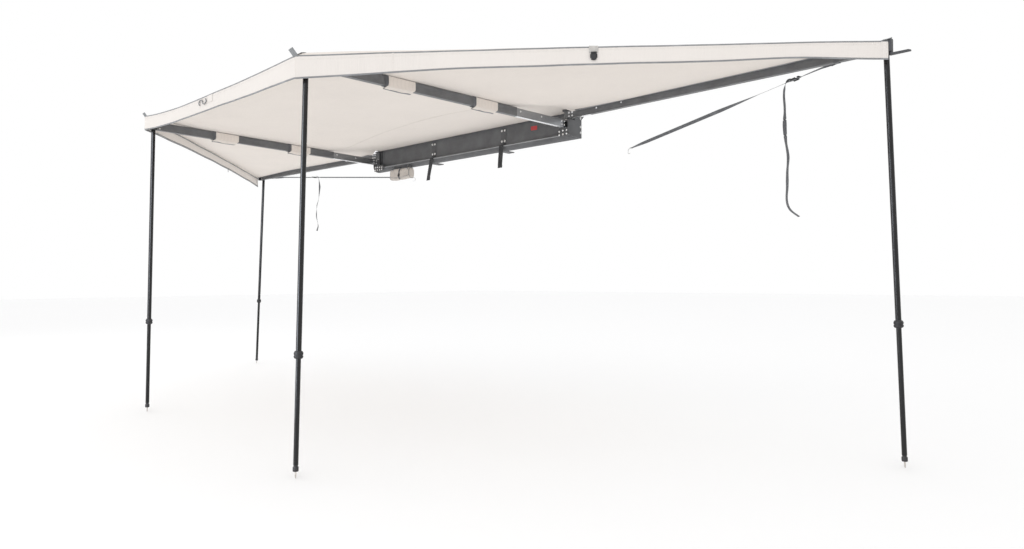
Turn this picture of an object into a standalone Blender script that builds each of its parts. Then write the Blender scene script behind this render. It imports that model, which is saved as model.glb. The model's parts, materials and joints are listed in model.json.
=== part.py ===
"""Two-hinge wing awning that bolts to the side of a roof rack, shown fully open.

+X is the rear end of the case, -X the front end, -Y points away from the
vehicle and +Z is up. The origin is the centre of the back plate's rear face.
Everything is in metres.
"""

import math

import bmesh
import bpy
from mathutils import Matrix, Vector

# ---------------------------------------------------------------- dimensions
HINGE_X = 1.120            # hinge pins sit this far from the middle of the case
HINGE_Y = {"rear": -0.125, "front": -0.045}   # outer and inner stowing column
GROUND_Z = -2.020

OPEN_IN = math.radians(2.84)     # centre arms lean inwards from square
OPEN_OUT = math.radians(1.87)    # wing arms lean outwards from the case line

ARM_W, ARM_H, ARM_WALL = 0.030, 0.056, 0.002
CENTRE_Z, WING_Z = -0.012, 0.048  # mid-height of the two arm levels
KNUCKLE_W, KNUCKLE_H = 0.0252, 0.050
ARM_START = 0.505
CENTRE_END, WING_END = 1.990, 2.012     # outer ends of the arm tubes

POLE_T = 0.0295                   # pole beside its arm at the pivot
POLE_FAN = math.radians(0.35)     # and a little further out at its collar
CENTRE_PIVOT, WING_PIVOT = 1.996, 2.032
UPPER_R, UPPER_WALL = 0.0135, 0.0012
LOWER_R, LOWER_WALL = 0.0120, 0.0012
COLLAR_R, COLLAR_H = 0.0215, 0.035
TUBE_SIDES = 20
LAP = 0.25                        # lower tube inside the upper one at rest

CANVAS = 0.0015
B_REACH, C_REACH, R_REACH, D_REACH = 2.056, 2.052, 2.040, 2.068
B_Z, C_Z, R_Z, D_Z = 0.0185, 0.040, 0.072, 0.046
B_ASIDE = 0.022                   # this corner of the canvas sits beside its arm
RAIL_Z = 0.0940                   # canvas where it leaves the keder rail
RAIL_Y = -0.0365

# name of each arm: (hinge, level, radial lean of the pole foot, collar height)
ARMS = {
    "centre_rear": ("rear", "centre", 0.112, 0.572),
    "wing_rear": ("rear", "wing", 0.070, 0.700),
    "centre_front": ("front", "centre", -0.004, 0.640),
    "wing_front": ("front", "wing", 0.150, 0.700),
}
# how far a pole's foot splays sideways, away from its arm
SPLAY = {"centre_rear": 0.103, "wing_rear": 0.0, "centre_front": 0.104, "wing_front": 0.0}

# ------------------------------------------------------------------ clearing
for old in list(bpy.data.objects):
    bpy.data.objects.remove(old, do_unlink=True)


# ----------------------------------------------------------------- materials
def material(name, colour, roughness, metallic):
    made = bpy.data.materials.new(name)
    made.use_nodes = True
    shader = made.node_tree.nodes["Principled BSDF"]
    shader.inputs["Base Color"].default_value = (*colour, 1.0)
    shader.inputs["Roughness"].default_value = roughness
    shader.inputs["Metallic"].default_value = metallic
    return made


BLACK_COAT = material("black_powder_coat", (0.020, 0.020, 0.022), 0.45, 0.0)
ALUMINIUM = material("mill_aluminium", (0.62, 0.63, 0.65), 0.38, 1.0)
DARK_TUBE = material("black_pole_tube", (0.016, 0.016, 0.018), 0.35, 0.0)
STEEL = material("zinc_steel", (0.55, 0.55, 0.54), 0.35, 1.0)
PLASTIC = material("black_plastic", (0.022, 0.022, 0.024), 0.55, 0.0)
CANVAS_MAT = material("sand_canvas", (0.62, 0.50, 0.40), 0.85, 0.0)
WEBBING = material("black_webbing", (0.030, 0.030, 0.033), 0.80, 0.0)
GREY_WEBBING = material("grey_webbing", (0.18, 0.18, 0.20), 0.80, 0.0)


# ------------------------------------------------------------- shape helpers
def finish(name, bm, mat, parent=None, smooth=False):
    """Closes a bmesh into a named object with outward normals."""
    bmesh.ops.remove_doubles(bm, verts=bm.verts, dist=0.00001)
    bmesh.ops.recalc_face_normals(bm, faces=bm.faces)
    mesh = bpy.data.meshes.new(name)
    bm.to_mesh(mesh)
    bm.free()
    mesh.materials.append(mat)
    if smooth:
        mesh.shade_smooth()
        mesh.set_sharp_from_angle(angle=math.radians(35))
    obj = bpy.data.objects.new(name, mesh)
    bpy.context.scene.collection.objects.link(obj)
    if parent is not None:
        obj.parent = parent
    return obj


def combine(target, others, operation="UNION"):
    """Applies exact Booleans of the other objects to the target."""
    bpy.context.view_layer.update()
    for other in others:
        change = target.modifiers.new("combine", "BOOLEAN")
        change.operation = operation
        change.solver = "EXACT"
        change.object = other
    graph = bpy.context.evaluated_depsgraph_get()
    result = bpy.data.meshes.new_from_object(target.evaluated_get(graph))
    before = target.data
    target.modifiers.clear()
    target.data = result
    result.name = target.name
    bpy.data.meshes.remove(before)
    for other in others:
        gone = other.data
        bpy.data.objects.remove(other, do_unlink=True)
        bpy.data.meshes.remove(gone)
    return target


def prism(points, low, high, to_xyz):
    """A polygon drawn in two coordinates and pushed along the third."""
    bm = bmesh.new()
    first = [bm.verts.new(to_xyz(a, b, low)) for a, b in points]
    last = [bm.verts.new(to_xyz(a, b, high)) for a, b in points]
    count = len(points)
    bm.faces.new(first)
    bm.faces.new(list(reversed(last)))
    for i in range(count):
        j = (i + 1) % count
        bm.faces.new((first[i], last[i], last[j], first[j]))
    return bm


def pipe(outer, inner, low, high, to_xyz):
    """A hollow section: two loops of equal count pushed along the third axis."""
    bm = bmesh.new()
    rings = [
        [bm.verts.new(to_xyz(a, b, c)) for a, b in loop]
        for loop, c in ((outer, low), (outer, high), (inner, low), (inner, high))
    ]
    count = len(outer)
    for i in range(count):
        j = (i + 1) % count
        for near, far in ((0, 1), (1, 3), (3, 2), (2, 0)):
            bm.faces.new((rings[near][i], rings[far][i], rings[far][j], rings[near][j]))
    return bm


def turned(profile, sides, to_xyz, hole=None):
    """Rings of (radius, height) joined round an axis; hole is the bore radius."""
    bm = bmesh.new()
    rows = []
    for radius, height in profile:
        rows.append(
            [
                bm.verts.new(
                    to_xyz(
                        radius * math.cos(2 * math.pi * k / sides),
                        radius * math.sin(2 * math.pi * k / sides),
                        height,
                    )
                )
                for k in range(sides)
            ]
        )
    if hole is not None:
        for height in (profile[-1][1], profile[0][1]):
            rows.append(
                [
                    bm.verts.new(
                        to_xyz(
                            hole * math.cos(2 * math.pi * k / sides),
                            hole * math.sin(2 * math.pi * k / sides),
                            height,
                        )
                    )
                    for k in range(sides)
                ]
            )
    pairs = [(i, i + 1) for i in range(len(rows) - 1)]
    if hole is not None:
        pairs.append((len(rows) - 1, 0))
    for low, high in pairs:
        for k in range(sides):
            m = (k + 1) % sides
            bm.faces.new((rows[low][k], rows[high][k], rows[high][m], rows[low][m]))
    if hole is None:
        bm.faces.new(rows[0])
        bm.faces.new(list(reversed(rows[-1])))
    return bm


def block(low, high):
    (x0, y0, z0), (x1, y1, z1) = low, high
    return prism(
        [(x0, y0), (x1, y0), (x1, y1), (x0, y1)], z0, z1, lambda a, b, c: (a, b, c)
    )


def rounded(width, height, radius, steps=3):
    """Corner points of a rectangle with rounded corners, centred on nothing."""
    points = []
    for sx, sy, start in ((1, 1, 0), (-1, 1, 90), (-1, -1, 180), (1, -1, 270)):
        cx, cy = sx * (width / 2 - radius), sy * (height / 2 - radius)
        for i in range(steps + 1):
            angle = math.radians(start + 90 * i / steps)
            points.append((cx + radius * math.cos(angle), cy + radius * math.sin(angle)))
    return points


def flip(points, sign):
    return [(a * sign, b) for a, b in points]


def head(radius, low, high, centre, axis, sides=8):
    """A button head on a rod of no length: it runs along one axis."""
    at = Vector(centre)
    mid = low + (high - low) * 0.55
    profile = [(radius, low), (radius, mid), (radius * 0.6, high)]
    if axis == "x":
        place = lambda a, b, c: (at.x + c, at.y + a, at.z + b)
    elif axis == "y":
        place = lambda a, b, c: (at.x + a, at.y + c, at.z + b)
    else:
        place = lambda a, b, c: (at.x + a, at.y + b, at.z + c)
    return turned(profile, sides, place)


def scrap(bm):
    return finish("scrap", bm, STEEL)


# -------------------------------------------------------------------- frames
def arm_direction(arm):
    hinge, level = ARMS[arm][:2]
    side = 1.0 if hinge == "rear" else -1.0
    if level == "centre":
        return Vector((-side * math.sin(OPEN_IN), -math.cos(OPEN_IN), 0.0))
    return Vector((side * math.cos(OPEN_OUT), -math.sin(OPEN_OUT), 0.0))


def mirror_of(arm):
    return 1.0 if ARMS[arm][0] == "rear" else -1.0


def hinge_point(arm):
    hinge = ARMS[arm][0]
    side = 1.0 if hinge == "rear" else -1.0
    return Vector((side * HINGE_X, HINGE_Y[hinge], 0.0))


def along(arm, r, t, z):
    """World point at r along an arm, t towards its pole side, at height z."""
    u = arm_direction(arm)
    v = Vector((-u.y, u.x, 0.0)) * mirror_of(arm)
    return hinge_point(arm) + u * r + v * t + Vector((0.0, 0.0, z))


def empty(name, location, rotation, parent=None):
    made = bpy.data.objects.new(name, None)
    made.empty_display_size = 0.05
    bpy.context.scene.collection.objects.link(made)
    made.location = location
    made.rotation_euler = rotation
    made.parent = parent
    return made


arm_empty = {}
pole_empty = {}
for arm, (hinge, level, lean_out, collar_up) in ARMS.items():
    u = arm_direction(arm)
    yaw = math.atan2(u.y, u.x)
    arm_empty[arm] = empty("axis_fold_" + arm, hinge_point(arm), (0.0, 0.0, yaw))
    pivot_r = CENTRE_PIVOT if level == "centre" else WING_PIVOT
    pivot_z = CENTRE_Z if level == "centre" else WING_Z
    lean = math.atan2(lean_out, pivot_z - GROUND_Z)
    tilt = mirror_of(arm) * math.atan2(SPLAY[arm], math.hypot(lean_out, pivot_z - GROUND_Z))
    pole_empty[arm] = empty(
        "axis_pole_" + arm,
        (pivot_r, mirror_of(arm) * POLE_T, pivot_z),
        (tilt, -lean, -mirror_of(arm) * POLE_FAN),
        arm_empty[arm],
    )

# ----------------------------------------------------------------- back plate
OUTER = [
    (0.0, 0.0990), (-0.0180, 0.0990), (-0.0220, 0.0950), (-0.0220, -0.0500),
    (-0.0300, -0.0525), (-0.0430, -0.0555), (-0.0480, -0.0610), (-0.0475, -0.0690),
    (-0.0400, -0.0800), (-0.0250, -0.0925), (-0.0100, -0.0990), (0.0, -0.0990),
]
INNER = [
    (-0.0025, 0.0965), (-0.0170, 0.0965), (-0.0195, 0.0940), (-0.0195, -0.0515),
    (-0.0285, -0.0550), (-0.0415, -0.0580), (-0.0455, -0.0620), (-0.0450, -0.0682),
    (-0.0380, -0.0782), (-0.0240, -0.0901), (-0.0095, -0.0965), (-0.0025, -0.0965),
]
finish(
    "back_plate",
    pipe(OUTER, INNER, -1.150, 1.150, lambda y, z, x: (x, y, z)),
    BLACK_COAT,
    smooth=True,
)

# keder rail along the top of the plate, with the groove that holds the canvas
RAIL = [
    (-0.0224, 0.0870), (-0.0340, 0.0870), (-0.0340, 0.0915), (-0.0300, 0.0915),
    (-0.0300, 0.0905), (-0.0260, 0.0905), (-0.0260, 0.0975), (-0.0300, 0.0975),
    (-0.0300, 0.0965), (-0.0340, 0.0965), (-0.0340, 0.0990), (-0.0224, 0.0990),
]
finish(
    "canopy_rail",
    prism(RAIL, -1.148, 1.148, lambda y, z, x: (x, y, z)),
    BLACK_COAT,
)

# ------------------------------------------------------------- hinge brackets
for hinge, side in (("rear", 1.0), ("front", -1.0)):
    hy = HINGE_Y[hinge]
    tip_y = hy - 0.028

    def across(a, b, c, side=side):
        return (side * c, a, b)

    def level_plate(a, b, c, side=side):
        return (side * a, b, c)

    shoulder = -0.078 if hinge == "rear" else -0.0225
    bottom_y = tip_y + 0.004
    cheek = [(0.0, 0.092), (shoulder, 0.092), (shoulder - 0.0005, 0.016), (tip_y, 0.016),
             (tip_y, -0.050)]
    for i in range(1, 6):
        turn = math.radians(90 * i / 6)
        cheek.append((bottom_y + 0.044 - 0.048 * math.cos(turn),
                      -0.051 - 0.048 * math.sin(turn)))
    cheek += [(bottom_y + 0.046, -0.099), (0.0, -0.099), (0.0, 0.030),
              (0.046, 0.076), (0.046, 0.086), (0.0, 0.0860)]
    bracket = finish(
        "hinge_bracket_" + hinge,
        prism(cheek, 1.1504, 1.1580, across),
        BLACK_COAT,
    )
    # the two ears, rounded about the pin, and the flange on the plate's face
    ear = [(1.1510, -0.0235), (1.0880, -0.0235), (1.0920, hy + 0.004)]
    for i in range(9):
        turn = math.radians(180 + 180 * i / 8)
        ear.append((HINGE_X + 0.028 * math.cos(turn), hy + 0.028 * math.sin(turn)))
    ear.append((1.1510, hy))
    parts = [
        scrap(prism(ear, -0.0490, -0.0418, level_plate)),
        scrap(prism(ear, 0.0775, 0.0845, level_plate)),
        scrap(
            prism(
                [(1.0860, -0.0490), (1.1510, -0.0490), (1.1510, 0.0845), (1.0860, 0.0845)],
                -0.0284, -0.0225, lambda a, b, c, side=side: (side * a, c, b),
            )
        ),
    ]
    # apron below the lower ear, with its rounded corner
    apron_y = tip_y + 0.006
    apron_in = 1.060 if hinge == "rear" else 1.020
    apron = [(1.1510, -0.0420), (apron_in + 0.010, -0.0420), (apron_in, -0.052)]
    for i in range(5):
        turn = math.radians(90 * i / 4)
        apron.append((apron_in + 0.030 - 0.030 * math.cos(turn),
                      -0.066 - 0.030 * math.sin(turn)))
    apron += [(1.1400, -0.0960), (1.1510, -0.0960)]
    parts.append(
        scrap(
            prism(apron, apron_y, apron_y + 0.005,
                  lambda a, b, c, side=side: (side * a, c, b))
        )
    )
    for bx, bz in ((1.138, -0.058), (1.138, -0.084), (1.106, -0.058), (1.106, -0.084),
                   (1.074, -0.062), (1.074, -0.086)):
        parts.append(
            scrap(head(0.0045, apron_y + 0.001, apron_y - 0.0030,
                       (side * bx, 0.0, bz), "y"))
        )
    if hinge == "front":
        for bz in (-0.064, -0.084):
            parts.append(
                scrap(head(0.0045, apron_y + 0.001, apron_y - 0.0030,
                           (side * 1.042, 0.0, bz), "y"))
            )
    combine(bracket, parts)
    bores = [
        scrap(
            turned([(0.0064, -0.070), (0.0064, 0.110)], 16,
                   lambda a, b, c, side=side, hy=hy: (side * HINGE_X + a, hy + b, c))
        )
    ]
    combine(bracket, bores, "DIFFERENCE")
    heads = []
    for by, bz in ((-0.012, 0.070), (-0.012, 0.040), (-0.012, -0.020), (-0.012, -0.060)):
        heads.append(
            scrap(head(0.005, side * 1.1570, side * 1.1612, (0.0, by, bz), "x"))
        )
    combine(bracket, heads)

    pin = [
        (0.0100, -0.0526), (0.0100, -0.0494), (0.0060, -0.0494), (0.0060, 0.0850),
        (0.0100, 0.0850), (0.0100, 0.0880), (0.0075, 0.0902),
    ]
    finish(
        "hinge_pin_" + hinge,
        turned(pin, 16, lambda a, b, c, side=side, hy=hy: (side * HINGE_X + a, hy + b, c)),
        STEEL,
        smooth=True,
    )
    finish(
        "hinge_washer_" + hinge,
        turned([(0.0120, 0.0162), (0.0120, 0.0198)], 16,
               lambda a, b, c, side=side, hy=hy: (side * HINGE_X + a, hy + b, c),
               hole=0.0065),
        STEEL,
    )

# --------------------------------------------- clamp plates and rack brackets
for name, cx in (("rear", 0.429), ("front", -0.379)):
    plate = finish(
        "clamp_plate_" + name,
        prism([(cx + a, 0.018 + b) for a, b in rounded(0.052, 0.112, 0.008)],
              -0.0254, -0.0223, lambda a, b, c: (a, c, b)),
        BLACK_COAT,
    )
    combine(
        plate,
        [
            scrap(head(0.0058, -0.0250, -0.0282, (cx + sx * 0.015, 0.0, 0.018 + sz * 0.041), "y", 10))
            for sx in (-1, 1)
            for sz in (-1, 1)
        ],
    )
for name, cx in (("rear", 0.410), ("front", -0.410)):
    ell = [
        (0.0003, 0.060), (0.0063, 0.060), (0.0063, -0.087), (0.0123, -0.093),
        (0.0900, -0.093), (0.0900, -0.099), (0.0080, -0.099), (0.0003, -0.091),
    ]
    bracket = finish(
        "rack_bracket_" + name,
        prism(ell, cx - 0.030, cx + 0.030, lambda y, z, x: (x, y, z)),
        BLACK_COAT,
    )
    slot = [(cx + a, 0.066 + b) for a, b in rounded(0.030, 0.009, 0.0044, 4)]
    combine(
        bracket,
        [scrap(prism(slot, -0.110, -0.080, lambda a, b, c: (a, b, c)))],
        "DIFFERENCE",
    )
    heads = [
        scrap(head(0.0065, 0.0058, 0.0105, (cx + sx * 0.015, 0.0, z), "y", 8))
        for sx in (-1, 1)
        for z in (-0.040, 0.040)
    ]
    combine(bracket, heads)


# -------------------------------------------------------- sheets and webbing
def sheet(name, grid, thickness, mat, parent=None):
    """A grid of points closed into a thin solid, thickened about the grid."""
    bm = bmesh.new()
    rows = [[bm.verts.new(p) for p in row] for row in grid]
    for a, b in zip(rows, rows[1:]):
        for k in range(len(a) - 1):
            bm.faces.new((a[k], b[k], b[k + 1], a[k + 1]))
    bm.normal_update()
    mesh = bpy.data.meshes.new(name)
    bm.to_mesh(mesh)
    bm.free()
    mesh.materials.append(mat)
    obj = bpy.data.objects.new(name, mesh)
    bpy.context.scene.collection.objects.link(obj)
    obj.parent = parent
    thick = obj.modifiers.new("thickness", "SOLIDIFY")
    thick.thickness = thickness
    thick.offset = 0.0
    thick.use_even_offset = True
    thick.use_rim = True
    return obj


for name, cx in (("rear", 0.429), ("front", -0.379)):
    drop = 0.230 if name == "rear" else 0.244
    lean = 0.014 if name == "rear" else 0.044      # its end lies nearer the front
    path = [
        (-0.0240, -0.0400), (-0.0243, -0.0478), (-0.0305, -0.0506), (-0.0430, -0.0534),
        (-0.0500, -0.0590), (-0.0508, -0.0700), (-0.0510, -0.1200), (-0.0512, -0.1800),
        (-0.0512, -drop),
    ]
    middles = [cx - lean * max(0.0, -z - 0.070) / (drop - 0.070) for y, z in path]
    sheet(
        "closure_strap_" + name,
        [[(x - 0.0225, y, z), (x + 0.0225, y, z)] for x, (y, z) in zip(middles, path)],
        0.002,
        WEBBING,
    )

# small bag for the pegs and guy ropes, strapped under the front of the case
pouch = rounded(0.056, 0.098, 0.018, 4)
POUCH_X0, POUCH_X1 = -0.930, -0.640
bm = bmesh.new()
rows = []
for x, shrink in (
    (POUCH_X0, 0.70), (POUCH_X0 + 0.008, 0.92), (POUCH_X0 + 0.030, 1.0),
    (POUCH_X1 - 0.030, 1.0), (POUCH_X1 - 0.008, 0.92), (POUCH_X1, 0.70),
):
    rows.append([bm.verts.new((x, -0.044 + a * shrink, -0.1535 + b * shrink)) for a, b in pouch])
bm.faces.new(rows[0])
bm.faces.new(list(reversed(rows[-1])))
for low, high in zip(rows, rows[1:]):
    for k in range(len(low)):
        m = (k + 1) % len(low)
        bm.faces.new((low[k], high[k], high[m], low[m]))
finish("stow_pouch", bm, CANVAS_MAT, smooth=True)

# ------------------------------------------------------------------- the arms
for arm, (hinge, level, lean_out, collar_up) in ARMS.items():
    parent = arm_empty[arm]
    sign = mirror_of(arm)
    centre = level == "centre"
    mid = CENTRE_Z if centre else WING_Z
    end = CENTRE_END if centre else WING_END
    pivot_r = CENTRE_PIVOT if centre else WING_PIVOT
    eye_low, eye_high = (mid - 0.0275, mid + 0.0275)

    def section(a, b, c, sign=sign, mid=mid):
        return (c, sign * a, mid + b)

    # knuckle: an eye round the pin and a hollow bar that plugs into the arm
    knuckle = finish(
        "knuckle_" + arm,
        turned([(0.0145, eye_low), (0.0145, eye_high)], 20, lambda a, b, c: (a, b, c)),
        ALUMINIUM,
    )
    bar = finish(
        "bar",
        prism(rounded(KNUCKLE_W, KNUCKLE_H, 0.002, 1), 0.0, 0.600, section),
        ALUMINIUM,
    )
    hollow = scrap(
        prism(rounded(KNUCKLE_W - 0.006, KNUCKLE_H - 0.006, 0.001, 1), 0.060, 0.620, section)
    )
    sole = scrap(
        prism([(-0.0150, -0.0278), (0.0150, -0.0278), (0.0150, -0.0242), (-0.0150, -0.0242)],
              0.045, 0.5045, section)
    )
    combine(bar, [sole])
    combine(bar, [hollow], "DIFFERENCE")
    combine(knuckle, [bar])
    combine(
        knuckle,
        [scrap(turned([(0.0064, mid - 0.050), (0.0064, mid + 0.050)], 16,
                      lambda a, b, c: (a, b, c)))],
        "DIFFERENCE",
    )
    studs = []
    face = KNUCKLE_W / 2
    for r, z, size in (
        (0.034, 0.012, 0.0055), (0.034, -0.012, 0.0055), (0.062, 0.012, 0.0055),
        (0.062, -0.012, 0.0055), (0.270, 0.006, 0.0050), (0.470, 0.006, 0.0050),
    ):
        for way in (-1.0, 1.0):
            studs.append(
                scrap(head(size, way * (face - 0.0006), way * (face + 0.0024),
                           (r, 0.0, mid + z), "y"))
            )
    combine(knuckle, studs)
    knuckle.parent = parent

    # arm: grooved rectangular tube
    w, h, g = ARM_W / 2, ARM_H / 2, 0.0008
    outer = [
        (w - 0.0015, h), (-w + 0.0015, h), (-w, h - 0.0015), (-w, 0.0110), (-w + g, 0.0100),
        (-w + g, -0.0100), (-w, -0.0110), (-w, -h + 0.0015), (-w + 0.0015, -h),
        (w - 0.0015, -h), (w, -h + 0.0015), (w, -0.0110), (w - g, -0.0100), (w - g, 0.0100),
        (w, 0.0110), (w, h - 0.0015),
    ]
    k = ARM_WALL
    inner = [
        (w - k, h - k), (-w + k, h - k), (-w + k, h - k - 0.0008), (-w + k, 0.0110),
        (-w + k, 0.0100), (-w + k, -0.0100), (-w + k, -0.0110), (-w + k, -h + k + 0.0008),
        (-w + k, -h + k), (w - k, -h + k), (w - k, -h + k + 0.0008), (w - k, -0.0110),
        (w - k, -0.0100), (w - k, 0.0100), (w - k, 0.0110), (w - k, h - k - 0.0008),
    ]
    finish("arm_" + arm, pipe(outer, inner, ARM_START, end, section), BLACK_COAT, parent)

    # tip bracket: plug, end block and the pin that the pole swings on
    block_end = 2.028 if centre else 2.068
    if centre:
        end_block = [(0.0150, -0.0280), (0.0150, 0.0280), (-0.0150, 0.0280), (-0.0150, -0.0280)]
    else:
        end_block = [(0.0150, -0.0282), (0.0150, 0.0300), (0.0110, 0.0330), (-0.0110, 0.0330),
                     (-0.0150, 0.0300), (-0.0150, -0.0282)]
    tip = finish(
        "tip_bracket_" + arm,
        prism(end_block, end + 0.0004, block_end, section),
        PLASTIC,
    )
    pieces = [
        scrap(prism(rounded(ARM_W - 2 * k - 0.0008, ARM_H - 2 * k - 0.0008, 0.0015, 1),
                    end - 0.045, end + 0.002, section)),
        scrap(
            turned([(0.0040, 0.0140), (0.0040, 0.0440)], 12,
                   lambda a, b, c, sign=sign, r=pivot_r, m=mid: (r + a, sign * c, m + b))
        ),
        scrap(
            turned([(0.0060, 0.0436), (0.0060, 0.0460)], 12,
                   lambda a, b, c, sign=sign, r=pivot_r, m=mid: (r + a, sign * c, m + b))
        ),
    ]
    if arm == "wing_rear":
        # guy hook under the end block
        pieces.append(
            scrap(
                prism(
                    [(2.046, 0.0240), (2.068, 0.0240), (2.068, 0.0130), (2.140, 0.0125),
                     (2.150, 0.0085), (2.150, 0.0020), (2.060, 0.0010), (2.046, 0.0060)],
                    -0.006, 0.006, lambda a, b, c: (a, c, b),
                )
            )
        )
    combine(tip, pieces)
    tip.parent = parent

    # ------------------------------------------------------------ the pole
    pole = pole_empty[arm]
    lean = math.atan2(lean_out, mid - GROUND_Z)
    tilt = sign * math.atan2(SPLAY[arm], math.hypot(lean_out, mid - GROUND_Z))
    upright = math.cos(lean) * math.cos(tilt)
    reach = (mid - GROUND_Z) / upright
    collar = reach - collar_up / upright            # down the pole to the collar

    def ring(radius, sides=TUBE_SIDES):
        return [
            (radius * math.cos(2 * math.pi * i / sides), radius * math.sin(2 * math.pi * i / sides))
            for i in range(sides)
        ]

    def down(a, b, c):
        return (a, b, -c)

    tube = finish(
        "pole_upper_" + arm,
        pipe(ring(UPPER_R), ring(UPPER_R - UPPER_WALL), 0.0160, collar + 0.004, down),
        DARK_TUBE,
    )
    cap = scrap(
        turned([(0.0100, -0.0140), (0.0134, -0.0100), (UPPER_R, -0.0060), (UPPER_R, 0.0300)],
               TUBE_SIDES, down)
    )
    combine(tube, [cap])
    combine(
        tube,
        [scrap(turned([(0.0046, -0.030), (0.0046, 0.030)], 12,
                      lambda a, b, c, w=tilt: (a, c * math.cos(w) + b * math.sin(w),
                                               b * math.cos(w) - c * math.sin(w))))],
        "DIFFERENCE",
    )
    tube.parent = pole

    bore = 0.01405
    collar_profile = [
        (0.0165, collar - 0.0190), (0.0200, collar - 0.0150), (COLLAR_R, collar - 0.0110),
        (COLLAR_R, collar - 0.0020), (0.0200, collar - 0.0005), (0.0200, collar + 0.0020),
        (COLLAR_R, collar + 0.0035), (COLLAR_R, collar + 0.0110), (0.0190, collar + 0.0160),
    ]
    lock = finish(
        "lock_collar_" + arm,
        turned(collar_profile, 24, down, hole=bore),
        PLASTIC,
        smooth=True,
    )
    lock.parent = pole

    foot_top = reach - 0.062
    lower = finish(
        "pole_lower_" + arm,
        pipe(ring(LOWER_R), ring(LOWER_R - LOWER_WALL), collar - LAP, foot_top, down),
        DARK_TUBE,
        smooth=True,
    )
    lower.parent = pole
    foot = finish(
        "foot_spike_" + arm,
        turned(
            [(0.0100, foot_top - 0.020), (0.0100, foot_top + 0.0004), (0.0130, foot_top + 0.0005),
             (0.0132, foot_top + 0.0180), (0.0110, foot_top + 0.0300), (0.0042, foot_top + 0.0370),
             (0.0040, reach - 0.0040), (0.0022, reach)],
            TUBE_SIDES, down,
        ),
        PLASTIC,
        smooth=True,
    )
    foot.parent = pole

    # canvas sleeves wrapped under the two centre arms
    if centre:
        for order, r0 in (("inner", 0.700), ("outer", 1.340)):
            wrap = [
                (0.0165, 0.0260), (0.0165, -0.0200), (0.0165, -0.0292), (-0.0165, -0.0292),
                (-0.0165, -0.0200), (-0.0165, 0.0260),
            ]
            sheet(
                "arm_sleeve_%s_%s" % (order, hinge),
                [[(r, sign * a, mid + b) for a, b in wrap] for r in (r0, r0 + 0.090, r0 + 0.180)],
                0.0012,
                CANVAS_MAT,
                parent,
            )

# ------------------------------------------------------------------- canopy
def fall(r):
    """Height of the canvas along a centre arm, from the rail down to the arm."""
    s = min(max((r - 0.02) / 0.62, 0.0), 1.0)
    return (1.0 - s) ** 2 * (1.0 + 2.0 * s)


def over_arm(arm, r, reach, corner_z):
    base = 0.0185
    lift = 0.0
    if r > 1.60:
        lift = (corner_z - base) * ((r - 1.60) / (reach - 1.60)) ** 2
    return base + (RAIL_Z - base) * fall(r) + lift


def valance(top, outward, drop):
    """Points down a valance from its top edge."""
    return [
        top + outward * 0.0015 + Vector((0.0, 0.0, -0.006)),
        top + outward * 0.0022 + Vector((0.0, 0.0, -drop * 0.5)),
        top + outward * 0.0020 + Vector((0.0, 0.0, -drop)),
    ]


def edge_drop(panel, u):
    """Depth of a panel's valance, from its first corner to its second."""
    first, second, less = {
        "centre": (0.112, 0.096, 0.010),
        "rear": (0.113, 0.098, 0.014),
        "front": (0.096, 0.100, 0.018),
    }[panel]
    return first + (second - first) * u - less * 4.0 * u * (1.0 - u)


def centre_panel():
    """Canvas between the two centre arms, from the rail to its valance."""
    across = 16
    radial = [-0.085, 0.0, 0.10, 0.22, 0.36, 0.52, 0.70, 0.95, 1.25, 1.60, 1.83, 1.0]
    rows = []
    for i, rb in enumerate(radial):
        last = i == len(radial) - 1
        v = 1.0 if last else (rb + 0.085) / (B_REACH + 0.085)
        r_b = B_REACH if last else rb
        r_c = C_REACH if last else (rb if rb > 0.3 else rb)
        pb = along("centre_rear", r_b, B_ASIDE - 0.0004 if last else -0.0004, 0.0)
        pc = along("centre_front", r_c, -0.0004, 0.0)
        if i == 0:
            pb = Vector((HINGE_X, RAIL_Y, 0.0))
            pc = Vector((-HINGE_X, RAIL_Y, 0.0))
        if i == 1:
            pc = along("centre_front", 0.060, -0.0004, 0.0)
        if i == 2:
            pc = along("centre_front", 0.130, -0.0004, 0.0)
        r_on_c = (hinge_point("centre_front") - pc).length if i else 0.0
        zb = over_arm("centre_rear", max(r_b, 0.0), B_REACH, B_Z)
        zc = over_arm("centre_front", r_on_c, C_REACH, C_Z)
        row = []
        for k in range(across + 1):
            u = k / across
            flat = pb.lerp(pc, u)
            arm_like = (2.0 * u - 1.0) ** 2
            on_arms = zb + (zc - zb) * u
            straight = RAIL_Z + ((B_Z + (C_Z - B_Z) * u) - RAIL_Z) * v
            sag = 0.030 * 4.0 * u * (1.0 - u) * v * v
            flat.z = arm_like * on_arms + (1.0 - arm_like) * straight - sag
            row.append(flat)
        rows.append(row)
    edge = rows[-1]
    out = (edge[-1] - edge[0]).cross(Vector((0.0, 0.0, 1.0)))
    out.z = 0.0
    out.normalize()
    if out.y > 0:
        out = -out
    hung = [valance(p, out, edge_drop("centre", k / across)) for k, p in enumerate(edge)]
    for step in range(3):
        rows.append([h[step] for h in hung])
    return rows


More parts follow.
